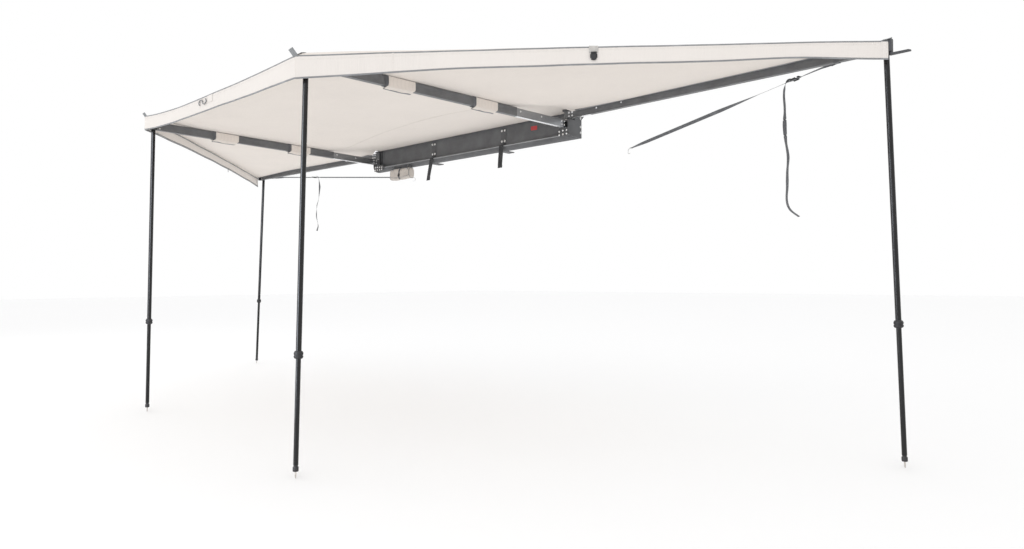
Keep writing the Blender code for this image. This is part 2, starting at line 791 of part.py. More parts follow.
def wing_panel(centre_arm, wing_arm, reach_c, z_c, reach_w, z_w):
    """Canvas between a centre arm and its wing arm, with its valance."""
    across = 10
    steps = [0.0, 0.05, 0.11, 0.19, 0.28, 0.40, 0.54, 0.69, 0.84, 1.0]
    rows = []
    for s in steps:
        rc = 0.036 + (reach_c - 0.036) * s
        rw = 0.062 + (reach_w - 0.062) * s
        aside = B_ASIDE if centre_arm == "centre_rear" and s == 1.0 else 0.0
        pc = along(centre_arm, rc, aside + 0.0004, 0.0)
        pw = along(wing_arm, rw, -0.0180, 0.0)
        # the panel sags, and its outer hem is pulled into a slight arch
        sag = 0.012 * s if s < 0.8 else 0.012 * s - 0.0125 * ((s - 0.8) / 0.2)
        zc = over_arm(centre_arm, rc, reach_c, z_c)
        zw = 0.064 + (z_w - 0.064) * max(0.0, (s - 0.7) / 0.3) ** 1.0
        row = []
        for k in range(across + 1):
            u = k / across
            flat = pc.lerp(pw, u)
            flat.z = zc + (zw - zc) * u - sag * 4.0 * u * (1.0 - u)
            row.append(flat)
        rows.append(row)
    edge = rows[-1]
    out = (edge[-1] - edge[0]).cross(Vector((0.0, 0.0, 1.0)))
    out.z = 0.0
    out.normalize()
    if out.y > 0:
        out = -out
    side = "rear" if centre_arm == "centre_rear" else "front"
    hung = [valance(p, out, edge_drop(side, k / across)) for k, p in enumerate(edge)]
    for step in range(3):
        rows.append([h[step] for h in hung])
    return rows, edge, out


centre_rows = centre_panel()
sheet("canopy_centre", centre_rows, CANVAS, CANVAS_MAT)
rear_rows, rear_edge, rear_out = wing_panel(
    "centre_rear", "wing_rear", B_REACH, B_Z, R_REACH, R_Z
)
sheet("canopy_wing_rear", rear_rows, CANVAS, CANVAS_MAT)
front_rows, front_edge, front_out = wing_panel(
    "centre_front", "wing_front", C_REACH, C_Z, D_REACH, D_Z
)
sheet("canopy_wing_front", front_rows, CANVAS, CANVAS_MAT)

# webbing tab with a buckle at the middle of the rear edge, hook on the outer one
middle = rear_edge[len(rear_edge) // 2]
run = (rear_edge[-1] - rear_edge[0]).normalized()
face = [
    [middle + rear_out * 0.0062 + run * a + Vector((0.0, 0.0, z)) for a in (-0.0125, 0.0125)]
    for z in (-0.006, -0.020, -0.034, -0.052)
]
sheet("edge_buckle_rear", face, 0.005, PLASTIC)
outer_edge = centre_rows[-4]
middle = outer_edge[len(outer_edge) // 2]
run = (outer_edge[-1] - outer_edge[0]).normalized()
outward = Vector((run.y, -run.x, 0.0))
if outward.y > 0:
    outward = -outward
face = [
    [middle + outward * 0.0062 + run * a + Vector((0.0, 0.0, z)) for a in (-0.016, 0.016)]
    for z in (-0.008, -0.022, -0.040)
]
sheet("edge_hook_outer", face, 0.005, STEEL)


# -------------------------------------------------------------- tie-back straps
def smooth_route(points, count):
    """Evenly spaced points on a smooth curve through the route's own points."""
    fine = []
    last = len(points) - 1
    for i in range(last):
        p0 = points[max(i - 1, 0)]
        p1, p2 = points[i], points[i + 1]
        p3 = points[min(i + 2, last)]
        for j in range(40):
            s = j / 40
            fine.append(
                0.5 * (
                    2 * p1 + (p2 - p0) * s + (2 * p0 - 5 * p1 + 4 * p2 - p3) * s * s
                    + (3 * p1 - p0 - 3 * p2 + p3) * s ** 3
                )
            )
    fine.append(points[-1].copy())
    total = [0.0]
    for a, b in zip(fine, fine[1:]):
        total.append(total[-1] + (b - a).length)
    result, j = [], 0
    for i in range(count):
        want = total[-1] * i / (count - 1)
        while j < len(total) - 2 and total[j + 1] < want:
            j += 1
        span = total[j + 1] - total[j]
        s = 0.0 if span == 0 else (want - total[j]) / span
        result.append(fine[j].lerp(fine[j + 1], min(max(s, 0.0), 1.0)))
    return result


def cord(name, points, mat, radius):
    data = bpy.data.curves.new(name, "CURVE")
    data.dimensions = "3D"
    data.bevel_depth = radius
    data.bevel_resolution = 2
    data.use_fill_caps = True
    data.render_resolution_u = 0
    spline = data.splines.new("POLY")
    spline.points.add(len(points) - 1)
    for slot, p in zip(spline.points, points):
        slot.co = (*p, 1.0)
    data.materials.append(mat)
    obj = bpy.data.objects.new(name, data)
    bpy.context.scene.collection.objects.link(obj)
    return obj


STRAP_R = 0.0040
VIEW_RIGHT = Vector((0.746, 0.666, 0.0))   # the tails hang in their own plane
VIEW_NEAR = Vector((0.666, -0.746, 0.0))
# arm, far hook, share of the run from the arm to the buckle, and the tail's
# points from the buckle as (sideways, nearer, up)
TIES = {
    "rear": ("wing_rear", Vector((1.230, 0.515, -0.089)), 0.180,
             ((-0.0105, -0.0210, 0.009), (-0.026, -0.036, 0.006), (-0.045, -0.045, -0.012),
              (-0.062, -0.048, -0.045), (-0.068, -0.048, -0.085), (-0.065, -0.048, -0.150),
              (-0.067, -0.048, -0.250), (-0.063, -0.048, -0.335), (-0.051, -0.048, -0.420),
              (-0.051, -0.048, -0.505), (-0.052, -0.048, -0.590), (-0.056, -0.048, -0.675),
              (-0.040, -0.048, -0.728), (0.010, -0.048, -0.768))),
    "front": ("wing_front", Vector((-1.330, 0.520, -0.109)), 0.335,
              ((0.0215, 0.0085, 0.009), (0.038, 0.028, 0.004), (0.052, 0.045, -0.018),
               (0.060, 0.050, -0.060), (0.064, 0.050, -0.110), (0.060, 0.050, -0.170),
               (0.052, 0.050, -0.245), (0.036, 0.050, -0.300), (0.031, 0.050, -0.370),
               (0.031, 0.050, -0.425), (0.042, 0.050, -0.480), (0.047, 0.050, -0.525),
               (0.035, 0.050, -0.570))),
}
for side, (arm, hook, part, tail) in TIES.items():
    top = along(arm, 1.870, 0.0, 0.0140)
    buckle = top.lerp(hook, part)
    run = (hook - top).normalized()
    # webbing pulled tight from its loop under the arm, through the buckle, to the hook
    cord("tie_strap_" + side, [top.lerp(hook, i / 15) for i in range(16)],
         GREY_WEBBING, STRAP_R)
    # the loose tail that leaves the buckle and hangs
    points = [
        buckle + VIEW_RIGHT * sideways + VIEW_NEAR * nearer + Vector((0.0, 0.0, dz))
        for sideways, nearer, dz in tail
    ]
    cord("tie_tail_" + side, smooth_route(points, 46), GREY_WEBBING, STRAP_R)
    # buckle: a flat frame round the webbing
    across = run.cross(Vector((0.0, 0.0, 1.0))).normalized()
    lift = across.cross(run).normalized()
    if lift.z < 0:
        lift = -lift
    frame = [(-0.0175, -0.0065), (0.0175, -0.0065), (0.0175, 0.0050), (-0.0175, 0.0050)]
    gap = [(-0.0135, -0.0045), (0.0135, -0.0045), (0.0135, 0.0045), (-0.0135, 0.0045)]
    finish(
        "tie_buckle_" + side,
        pipe(frame, gap, -0.0195, 0.0195,
             lambda a, b, c, o=buckle, x=across, y=lift, z=run: o + x * a + y * b + z * c),
        PLASTIC,
    )
    # steel hook on the far end, which catches the roof rack
    curve = [hook + run * 0.0004, hook + run * 0.0100]
    for i in range(8):
        turn = math.pi * 1.15 * i / 7
        curve.append(hook + run * (0.024 + 0.018 * math.sin(turn))
                     + Vector((0.0, 0.0, -0.018 + 0.018 * math.cos(turn))))
    steel = cord("tie_hook_" + side, curve, STEEL, 0.0035)
    steel.data.bevel_resolution = 1
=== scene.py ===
"""Looks of the two-hinge wing awning, open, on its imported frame.

Metres, in the frame of the part: +X the rear end of the case, -Y the side that
it opens towards, +Z up, the origin in the middle of the back plate's rear face.
"""

import json
import math

import bmesh
import bpy
import numpy as np
from mathutils import Euler, Matrix, Vector
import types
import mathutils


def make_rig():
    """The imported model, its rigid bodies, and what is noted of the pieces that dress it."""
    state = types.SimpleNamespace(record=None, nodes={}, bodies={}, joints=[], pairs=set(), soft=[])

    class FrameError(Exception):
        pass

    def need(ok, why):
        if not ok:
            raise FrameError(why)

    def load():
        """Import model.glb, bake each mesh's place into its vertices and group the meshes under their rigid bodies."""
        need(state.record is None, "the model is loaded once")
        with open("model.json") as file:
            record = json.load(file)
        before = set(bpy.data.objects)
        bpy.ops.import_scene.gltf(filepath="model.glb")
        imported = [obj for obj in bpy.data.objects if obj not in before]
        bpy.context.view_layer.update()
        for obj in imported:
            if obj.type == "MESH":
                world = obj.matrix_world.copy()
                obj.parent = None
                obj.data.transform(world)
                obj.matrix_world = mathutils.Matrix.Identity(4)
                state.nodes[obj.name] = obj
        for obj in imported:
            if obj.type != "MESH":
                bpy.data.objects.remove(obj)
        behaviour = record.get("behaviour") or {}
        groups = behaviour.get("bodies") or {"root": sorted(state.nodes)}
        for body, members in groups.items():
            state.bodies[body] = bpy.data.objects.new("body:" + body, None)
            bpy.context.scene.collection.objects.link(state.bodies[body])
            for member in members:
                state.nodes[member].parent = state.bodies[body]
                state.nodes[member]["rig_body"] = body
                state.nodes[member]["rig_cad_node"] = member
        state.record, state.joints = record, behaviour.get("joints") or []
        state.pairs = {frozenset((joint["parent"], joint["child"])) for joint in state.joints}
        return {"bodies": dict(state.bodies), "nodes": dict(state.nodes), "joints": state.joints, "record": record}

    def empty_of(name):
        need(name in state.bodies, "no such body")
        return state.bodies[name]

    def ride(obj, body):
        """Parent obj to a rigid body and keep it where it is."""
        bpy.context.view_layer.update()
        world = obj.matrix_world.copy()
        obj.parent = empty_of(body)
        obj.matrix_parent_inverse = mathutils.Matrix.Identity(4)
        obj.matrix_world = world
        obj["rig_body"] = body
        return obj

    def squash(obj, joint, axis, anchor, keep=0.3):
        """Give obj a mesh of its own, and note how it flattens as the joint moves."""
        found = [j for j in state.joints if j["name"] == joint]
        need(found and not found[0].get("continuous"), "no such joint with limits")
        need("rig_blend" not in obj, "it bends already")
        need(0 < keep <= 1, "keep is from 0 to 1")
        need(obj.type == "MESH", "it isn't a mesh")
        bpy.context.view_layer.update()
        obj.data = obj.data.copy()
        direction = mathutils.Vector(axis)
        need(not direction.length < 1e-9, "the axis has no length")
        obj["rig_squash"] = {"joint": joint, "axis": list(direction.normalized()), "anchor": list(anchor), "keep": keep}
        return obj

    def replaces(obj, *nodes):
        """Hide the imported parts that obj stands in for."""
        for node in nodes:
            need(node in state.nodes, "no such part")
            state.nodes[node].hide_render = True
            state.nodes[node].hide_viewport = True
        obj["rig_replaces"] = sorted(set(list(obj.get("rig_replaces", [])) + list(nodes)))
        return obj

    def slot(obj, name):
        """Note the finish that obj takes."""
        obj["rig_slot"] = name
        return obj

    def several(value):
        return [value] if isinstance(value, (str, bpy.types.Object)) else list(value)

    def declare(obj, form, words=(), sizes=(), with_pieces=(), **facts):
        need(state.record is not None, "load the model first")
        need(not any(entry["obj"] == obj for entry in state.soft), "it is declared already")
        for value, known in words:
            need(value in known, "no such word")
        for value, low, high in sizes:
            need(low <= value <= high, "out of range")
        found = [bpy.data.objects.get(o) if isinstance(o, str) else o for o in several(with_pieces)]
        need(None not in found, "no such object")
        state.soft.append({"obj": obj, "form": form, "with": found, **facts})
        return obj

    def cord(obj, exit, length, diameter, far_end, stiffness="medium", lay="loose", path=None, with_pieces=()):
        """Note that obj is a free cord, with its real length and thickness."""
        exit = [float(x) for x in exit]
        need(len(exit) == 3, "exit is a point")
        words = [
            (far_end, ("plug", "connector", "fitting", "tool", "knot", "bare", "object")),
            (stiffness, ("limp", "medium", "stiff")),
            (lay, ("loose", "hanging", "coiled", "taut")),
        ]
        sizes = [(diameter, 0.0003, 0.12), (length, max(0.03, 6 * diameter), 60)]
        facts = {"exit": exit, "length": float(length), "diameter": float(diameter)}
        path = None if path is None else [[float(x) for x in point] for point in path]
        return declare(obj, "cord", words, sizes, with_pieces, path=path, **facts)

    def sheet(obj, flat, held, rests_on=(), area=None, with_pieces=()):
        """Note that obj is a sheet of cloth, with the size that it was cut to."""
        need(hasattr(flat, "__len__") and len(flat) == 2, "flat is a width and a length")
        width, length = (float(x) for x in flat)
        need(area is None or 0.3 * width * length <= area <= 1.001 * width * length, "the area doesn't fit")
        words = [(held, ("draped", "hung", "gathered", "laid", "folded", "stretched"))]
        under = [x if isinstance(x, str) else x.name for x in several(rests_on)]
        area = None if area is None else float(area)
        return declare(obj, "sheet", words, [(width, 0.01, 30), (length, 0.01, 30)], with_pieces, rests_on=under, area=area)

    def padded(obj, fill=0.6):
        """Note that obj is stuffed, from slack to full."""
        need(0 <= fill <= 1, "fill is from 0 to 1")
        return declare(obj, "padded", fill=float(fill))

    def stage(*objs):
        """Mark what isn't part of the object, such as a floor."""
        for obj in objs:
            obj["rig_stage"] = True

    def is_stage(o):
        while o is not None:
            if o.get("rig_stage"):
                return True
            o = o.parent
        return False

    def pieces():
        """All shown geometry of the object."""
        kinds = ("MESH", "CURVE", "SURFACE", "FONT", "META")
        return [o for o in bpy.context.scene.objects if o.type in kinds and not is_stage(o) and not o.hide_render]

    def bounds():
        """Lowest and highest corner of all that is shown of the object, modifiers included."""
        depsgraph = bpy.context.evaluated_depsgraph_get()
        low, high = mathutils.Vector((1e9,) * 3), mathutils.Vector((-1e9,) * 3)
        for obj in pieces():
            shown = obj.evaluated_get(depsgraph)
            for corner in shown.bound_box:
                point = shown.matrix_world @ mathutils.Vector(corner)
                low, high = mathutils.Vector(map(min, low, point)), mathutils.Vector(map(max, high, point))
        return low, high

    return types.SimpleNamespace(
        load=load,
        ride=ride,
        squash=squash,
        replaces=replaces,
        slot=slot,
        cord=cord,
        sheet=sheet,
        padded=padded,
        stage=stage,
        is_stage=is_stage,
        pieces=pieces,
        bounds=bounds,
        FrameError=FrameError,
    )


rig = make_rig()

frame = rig.load()
CAD_BOX = [[float(x) for x in corner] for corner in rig.bounds()]

# ------------------------------------------------ the part's own dimensions
HINGE_X = 1.120
HINGE_Y = {"rear": -0.125, "front": -0.045}
GROUND_Z = -2.020
OPEN_IN = math.radians(2.84)
OPEN_OUT = math.radians(1.87)
ARM_W, ARM_H = 0.030, 0.056
CENTRE_Z, WING_Z = -0.012, 0.048
POLE_T = 0.0295
POLE_FAN = math.radians(0.35)
CENTRE_PIVOT, WING_PIVOT = 1.996, 2.032
UPPER_R, LOWER_R = 0.0135, 0.0120
B_REACH, C_REACH, R_REACH, D_REACH = 2.056, 2.052, 2.054, 2.068
B_Z, C_Z, R_Z, D_Z = 0.0185, 0.052, 0.069, 0.046
B_ASIDE, C_ASIDE = 0.036, 0.030
RAIL_Z, RAIL_Y = 0.0940, -0.0365
ARMS = {
    "centre_rear": ("rear", "centre", 0.112, 0.572),
    "wing_rear": ("rear", "wing", 0.070, 0.700),
    "centre_front": ("front", "centre", -0.004, 0.640),
    "wing_front": ("front", "wing", 0.150, 0.700),
}
SPLAY = {"centre_rear": 0.103, "wing_rear": 0.0, "centre_front": 0.104, "wing_front": 0.0}


def arm_direction(arm):
    hinge, level = ARMS[arm][:2]
    side = 1.0 if hinge == "rear" else -1.0
    if level == "centre":
        return Vector((-side * math.sin(OPEN_IN), -math.cos(OPEN_IN), 0.0))
    return Vector((side * math.cos(OPEN_OUT), -math.sin(OPEN_OUT), 0.0))


def mirror_of(arm):
    return 1.0 if ARMS[arm][0] == "rear" else -1.0


def hinge_point(arm):
    hinge = ARMS[arm][0]
    return Vector((HINGE_X if hinge == "rear" else -HINGE_X, HINGE_Y[hinge], 0.0))


def along(arm, r, t, z):
    """Point at r along an arm, t towards its pole side, at height z."""
    u = arm_direction(arm)
    v = Vector((-u.y, u.x, 0.0)) * mirror_of(arm)
    return hinge_point(arm) + u * r + v * t + Vector((0.0, 0.0, z))


def mid_of(arm):
    return CENTRE_Z if ARMS[arm][1] == "centre" else WING_Z


def pole_matrix(arm):
    """Frame of a pole: the origin is its pivot, and -Z runs down the pole."""
    hinge, level, lean_out, collar_up = ARMS[arm]
    u = arm_direction(arm)
    mid = mid_of(arm)
    pivot_r = CENTRE_PIVOT if level == "centre" else WING_PIVOT
    lean = math.atan2(lean_out, mid - GROUND_Z)
    tilt = mirror_of(arm) * math.atan2(SPLAY[arm], math.hypot(lean_out, mid - GROUND_Z))
    return (
        Matrix.Translation(hinge_point(arm))
        @ Matrix.Rotation(math.atan2(u.y, u.x), 4, "Z")
        @ Matrix.Translation((pivot_r, mirror_of(arm) * POLE_T, mid))
        @ Euler((tilt, -lean, -mirror_of(arm) * POLE_FAN)).to_matrix().to_4x4()
    )


def pole_lengths(arm):
    """(pivot to the ground, pivot to the collar) along the pole."""
    mid = mid_of(arm)
    lean_out, collar_up = ARMS[arm][2:]
    lean = math.atan2(lean_out, mid - GROUND_Z)
    tilt = math.atan2(SPLAY[arm], math.hypot(lean_out, mid - GROUND_Z))
    upright = math.cos(lean) * math.cos(tilt)
    reach = (mid - GROUND_Z) / upright
    return reach, reach - collar_up / upright


# ------------------------------------------------------------------ materials
class Paint:
    """A Principled material and short names for the nodes that feed it."""

    def __init__(self, name, colour, roughness, metallic=0.0, **sockets):
        self.made = bpy.data.materials.new(name)
        self.made.use_nodes = True
        self.tree = self.made.node_tree
        self.shader = self.tree.nodes["Principled BSDF"]
        self.shader.inputs["Base Color"].default_value = (*colour, 1.0)
        self.shader.inputs["Roughness"].default_value = roughness
        self.shader.inputs["Metallic"].default_value = metallic
        for key, value in sockets.items():
            self.shader.inputs[key.replace("_", " ")].default_value = value
        self.place = self.tree.nodes.new("ShaderNodeTexCoord").outputs["Object"]
        self.colour = colour
        self.roughness = roughness

    def node(self, kind, inputs=(), **settings):
        made = self.tree.nodes.new("ShaderNode" + kind)
        for key, value in settings.items():
            setattr(made, key, value)
        for key, value in dict(inputs).items():
            if isinstance(value, bpy.types.NodeSocket):
                self.tree.links.new(value, made.inputs[key])
            else:
                made.inputs[key].default_value = value
        return made

    def mapped(self, scale, turn=(0.0, 0.0, 0.0)):
        return self.node(
            "Mapping", {"Vector": self.place, "Scale": scale, "Rotation": turn}
        ).outputs["Vector"]

    def noise(self, scale, detail=3.0, rough=0.55, place=None, twist=0.0):
        return self.node(
            "TexNoise",
            {
                "Vector": place or self.place,
                "Scale": scale,
                "Detail": detail,
                "Roughness": rough,
                "Distortion": twist,
            },
        ).outputs["Fac"]

    def bands(self, pitch, axis, place=None):
        """A sine across one axis, one period every pitch metres."""
        return self.node(
            "TexWave",
            {"Vector": place or self.place, "Scale": 2 * math.pi / (20 * pitch)},
            wave_type="BANDS",
            bands_direction=axis,
        ).outputs["Fac"]

    def maths(self, what, a, b=None, clamp=False):
        inputs = {0: a}
        if b is not None:
            inputs[1] = b
        return self.node("Math", inputs, operation=what, use_clamp=clamp).outputs[0]

    def between(self, value, low, high, to_low=0.0, to_high=1.0):
        return self.node(
            "MapRange",
            {
                "Value": value,
                "From Min": low,
                "From Max": high,
                "To Min": to_low,
                "To Max": to_high,
            },
        ).outputs["Result"]

    def mix(self, share, a, b):
        made = self.node("Mix", data_type="RGBA")
        self.tree.links.new(share, made.inputs[0])
        for at, value in ((6, a), (7, b)):
            if isinstance(value, bpy.types.NodeSocket):
                self.tree.links.new(value, made.inputs[at])
            else:
                made.inputs[at].default_value = (*value, 1.0)
        return made.outputs[2]

    def colour_from(self, socket):
        self.tree.links.new(socket, self.shader.inputs["Base Color"])

    def roughness_from(self, socket):
        self.tree.links.new(socket, self.shader.inputs["Roughness"])

    def bump(self, *layers):
        """Layers of (height socket, strength, distance), finest last."""
        normal = None
        for height, strength, distance in layers:
            made = self.node(
                "Bump", {"Height": height, "Strength": strength, "Distance": distance}
            )
            if normal is not None:
                self.tree.links.new(normal, made.inputs["Normal"])
            normal = made.outputs["Normal"]
        self.tree.links.new(normal, self.shader.inputs["Normal"])


def shade(colour, factor):
    return tuple(min(1.0, c * factor) for c in colour)


def canvas_paint(name, colour, turn=(0.0, 0.0, 0.0), upright=False):
    """Woven poly-cotton: two sets of yarns, slubs, and a slow change of tone."""
    paint = Paint(name, colour, 0.86, Sheen_Weight=0.12, Sheen_Roughness=0.45,
                  Specular_IOR_Level=0.25)
    place = paint.mapped((1.0, 1.0, 1.0), turn)
    warp = paint.bands(0.0013, "X", place)
    weft = paint.bands(0.0013, "Z" if upright else "Y", place)
    over = paint.maths("MULTIPLY", warp, weft)
    flat = paint.maths("ADD", paint.maths("MULTIPLY", warp, 0.5),
                       paint.maths("MULTIPLY", weft, 0.5))
    weave = paint.maths("ADD", paint.maths("MULTIPLY", over, 0.6),
                        paint.maths("MULTIPLY", flat, 0.4))
    slub_x = paint.noise(1.0, 2.0, 0.6, paint.mapped((9.0, 520.0, 520.0), turn))
    slub_y = paint.noise(1.0, 2.0, 0.6, paint.mapped((520.0, 9.0, 9.0 if upright else 520.0), turn))
    slubs = paint.maths("ADD", slub_x, slub_y)
    mottle = paint.noise(2.4, 4.0, 0.6)
    fine = paint.noise(38.0, 3.0, 0.6)
    base = paint.mix(paint.between(mottle, 0.32, 0.70), shade(colour, 0.955), shade(colour, 1.03))
    base = paint.mix(paint.between(slubs, 0.75, 1.30), base, shade(colour, 1.045))
    base = paint.mix(paint.maths("MULTIPLY", paint.between(weave, 0.15, 0.0), 0.35),
                     base, shade(colour, 0.72))
    base = paint.mix(paint.maths("MULTIPLY", paint.between(fine, 0.62, 0.80), 0.25),
                     base, shade(colour, 0.90))
    paint.colour_from(base)
    paint.roughness_from(paint.between(fine, 0.3, 0.7, 0.80, 0.92))
    paint.bump((mottle, 0.10, 0.004), (slubs, 0.18, 0.0004), (weave, 0.38, 0.00035))
    return paint.made


def webbing_paint(name, colour, turn=(0.0, 0.0, 0.0)):
    """Ribbed nylon webbing with a faint chevron."""
    paint = Paint(name, colour, 0.72, Sheen_Weight=0.2, Sheen_Roughness=0.4,
                  Specular_IOR_Level=0.35)
    place = paint.mapped((1.0, 1.0, 1.0), turn)
    ribs = paint.bands(0.0022, "Z", place)
    cross = paint.bands(0.0030, "X", place)
    cross_y = paint.bands(0.0030, "Y", place)
    weave = paint.maths("MULTIPLY", ribs, paint.maths("ADD", cross, cross_y))
    fuzz = paint.noise(420.0, 2.0, 0.6)
    worn = paint.noise(14.0, 3.0, 0.6)
    base = paint.mix(paint.between(weave, 0.1, 1.2), shade(colour, 0.62), shade(colour, 1.25))
    base = paint.mix(paint.maths("MULTIPLY", paint.between(worn, 0.5, 0.8), 0.5),
                     base, shade(colour, 1.6))
    paint.colour_from(base)
    paint.roughness_from(paint.between(fuzz, 0.3, 0.7, 0.62, 0.85))
    paint.bump((fuzz, 0.20, 0.0003), (weave, 0.55, 0.0005))
    return paint.made


def coat_paint(name, colour, roughness, grain=1.0, streak=None, **sockets):
    """Powder coat: orange peel, a little dust, and duller rubbed patches."""
    paint = Paint(name, colour, roughness, **sockets)
    peel = paint.noise(620.0, 2.0, 0.5)
    rub = paint.noise(9.0, 4.0, 0.62)
    dust = paint.noise(46.0, 4.0, 0.7)
    base = paint.mix(paint.between(rub, 0.35, 0.70), shade(colour, 0.86), shade(colour, 1.18))
    base = paint.mix(paint.maths("MULTIPLY", paint.between(dust, 0.60, 0.82), 0.30),
                     base, tuple(c * 0.55 + 0.10 for c in colour))
    if streak:
        lines = paint.noise(1.0, 2.0, 0.5, paint.mapped(streak))
        base = paint.mix(paint.maths("MULTIPLY", paint.between(lines, 0.45, 0.75), 0.20),
                         base, shade(colour, 1.25))
    paint.colour_from(base)
    paint.roughness_from(paint.between(rub, 0.3, 0.7, roughness - 0.07, roughness + 0.08))
    paint.bump((rub, 0.05, 0.002), (peel, 0.16 * grain, 0.0004))
    return paint.made


def metal_paint(name, colour, roughness, streak=(4.0, 260.0, 260.0), marks=0.35):
    """Bare metal: drawn lines, light scratches and a cloudy bloom."""
    paint = Paint(name, colour, roughness, 1.0)
    lines = paint.noise(1.0, 3.0, 0.6, paint.mapped(streak))
    bloom = paint.noise(26.0, 4.0, 0.6)
    pits = paint.noise(300.0, 2.0, 0.6)
    base = paint.mix(paint.between(bloom, 0.35, 0.75), colour, shade(colour, 0.88))
    base = paint.mix(paint.maths("MULTIPLY", paint.between(lines, 0.48, 0.75), marks),
                     base, shade(colour, 0.70))
    paint.colour_from(base)
    paint.roughness_from(paint.between(lines, 0.3, 0.7, roughness - 0.08, roughness + 0.12))
    paint.bump((pits, 0.08, 0.0003), (lines, 0.16, 0.0003))
    return paint.made


def plastic_paint(name, colour, roughness):
    """Moulded nylon: fine spark texture and faint flow tone."""
    paint = Paint(name, colour, roughness, Specular_IOR_Level=0.45)
    spark = paint.noise(900.0, 2.0, 0.6)
    flow = paint.noise(30.0, 3.0, 0.6)
    base = paint.mix(paint.between(flow, 0.35, 0.70), shade(colour, 0.85), shade(colour, 1.25))
    paint.colour_from(base)
    paint.roughness_from(paint.between(spark, 0.3, 0.7, roughness - 0.08, roughness + 0.10))
    paint.bump((spark, 0.22, 0.0003))
    return paint.made


SAND = (0.798, 0.741, 0.688)
# lighter, greyer copy of SAND for the valances, which are the same canvas as the panels: painted light
SAND_PAINTED_LIT = (0.800, 0.757, 0.720)
TAN = (0.768, 0.712, 0.660)
GREY = (0.300, 0.308, 0.318)
EDGE_REAR = math.atan2(R_REACH, B_REACH)   # turn of the wing edges about Z
CANVAS = canvas_paint("canvas_panel", SAND)
# the valances take the lighter copy of the sand: painted light
CANVAS_LOW = canvas_paint("canvas_valance", SAND_PAINTED_LIT, upright=True)
CANVAS_REAR = canvas_paint("canvas_valance_rear", SAND_PAINTED_LIT, (0.0, 0.0, -0.755), True)
CANVAS_FRONT = canvas_paint("canvas_valance_front", SAND_PAINTED_LIT, (0.0, 0.0, 0.755), True)
CANVAS_TAN = canvas_paint("canvas_sleeve", TAN)
BINDING = webbing_paint("grey_binding", GREY)
THREAD = webbing_paint("thread", (0.56, 0.51, 0.46))
THREAD_GREY = webbing_paint("thread_grey", (0.34, 0.35, 0.36))
STRAP_GREY = webbing_paint("strap_webbing_grey", (0.135, 0.140, 0.150))
STRAP_BLACK = webbing_paint("strap_webbing_black", (0.040, 0.041, 0.044))
CASE = coat_paint("case_powder_coat", (0.118, 0.121, 0.126), 0.44, 1.0, (2.0, 160.0, 160.0), Specular_IOR_Level=0.30)
BRACKET = coat_paint("bracket_powder_coat", (0.092, 0.094, 0.098), 0.45, 1.2, Specular_IOR_Level=0.35)
ARM = coat_paint("arm_powder_coat", (0.136, 0.139, 0.144), 0.40, 0.7, (160.0, 160.0, 160.0), Specular_IOR_Level=0.35)
POLE = coat_paint("pole_black", (0.0050, 0.0050, 0.0056), 0.20, 0.3, Specular_IOR_Level=0.40)
ALUMINIUM = metal_paint("knuckle_aluminium", (0.36, 0.37, 0.385), 0.36, (60.0, 60.0, 240.0), 0.2)
STEEL = metal_paint("zinc_steel", (0.74, 0.74, 0.73), 0.28, (120.0, 120.0, 120.0), 0.2)
DARK_STEEL = metal_paint("dark_steel", (0.26, 0.26, 0.265), 0.34, (120.0, 120.0, 120.0), 0.2)
SPIKE = metal_paint("spike_steel", (0.60, 0.56, 0.52), 0.36, (160.0, 160.0, 30.0), 0.4)
PLASTIC = plastic_paint("black_plastic", (0.026, 0.026, 0.028), 0.50)
PLATE_RED = coat_paint("plain_plate", (0.52, 0.045, 0.050), 0.34, 0.4)
RIVET = metal_paint("rivet_aluminium", (0.80, 0.80, 0.80), 0.30, (150.0, 150.0, 150.0), 0.15)
BRIGHT = metal_paint("wear_strip", (0.86, 0.87, 0.88), 0.24, (3.0, 300.0, 300.0), 0.15)
# lighter grey coat for the strip along the lip: a painted highlight
LIP_HIGHLIGHT_COAT = coat_paint("lip_bead_coat", (0.30, 0.31, 0.32), 0.40, 0.5)
CANVAS_SEAM = canvas_paint("canvas_seam", shade(SAND, 0.93))
CANVAS_BAG = canvas_paint("canvas_bag", shade(TAN, 0.77), upright=True)
STRAP_TAB = webbing_paint("tab_webbing_grey", (0.30, 0.31, 0.32))
STRAP_LIGHT = webbing_paint("tab_webbing_light", (0.62, 0.60, 0.57))


# --------------------------------------------------------------- mesh helpers
def piece(name, verts, faces, mat, body=None, slot=None, sharp=35.0, flat=False):
    mesh = bpy.data.meshes.new(name)
    mesh.from_pydata([tuple(float(x) for x in v) for v in verts], [], faces)
    mesh.validate()
    mesh.update()
    mesh.materials.append(mat)
    if not flat:
        mesh.shade_smooth()
        mesh.set_sharp_from_angle(angle=math.radians(sharp))
    obj = bpy.data.objects.new(name, mesh)
    bpy.context.scene.collection.objects.link(obj)
    if body:
        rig.ride(obj, body)
    if slot:
        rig.slot(obj, slot)
    return obj


class Heap:
    """Vertices and faces of several small solids that make one piece."""

    def __init__(self):
        self.verts, self.faces = [], []

    def add(self, verts, faces):
        start = len(self.verts)
        self.verts += [tuple(float(x) for x in v) for v in verts]
        self.faces += [tuple(start + i for i in f) for f in faces]

    def piece(self, name, mat, body=None, slot=None, sharp=35.0):
        return piece(name, self.verts, self.faces, mat, body, slot, sharp)


def grid_normals(points):
    """Unit normals of a grid of points, by its own two directions."""
    a = np.gradient(points, axis=0)
    b = np.gradient(points, axis=1)
    n = np.cross(a, b)
    size = np.linalg.norm(n, axis=2, keepdims=True)
    return n / np.maximum(size, 1e-12)


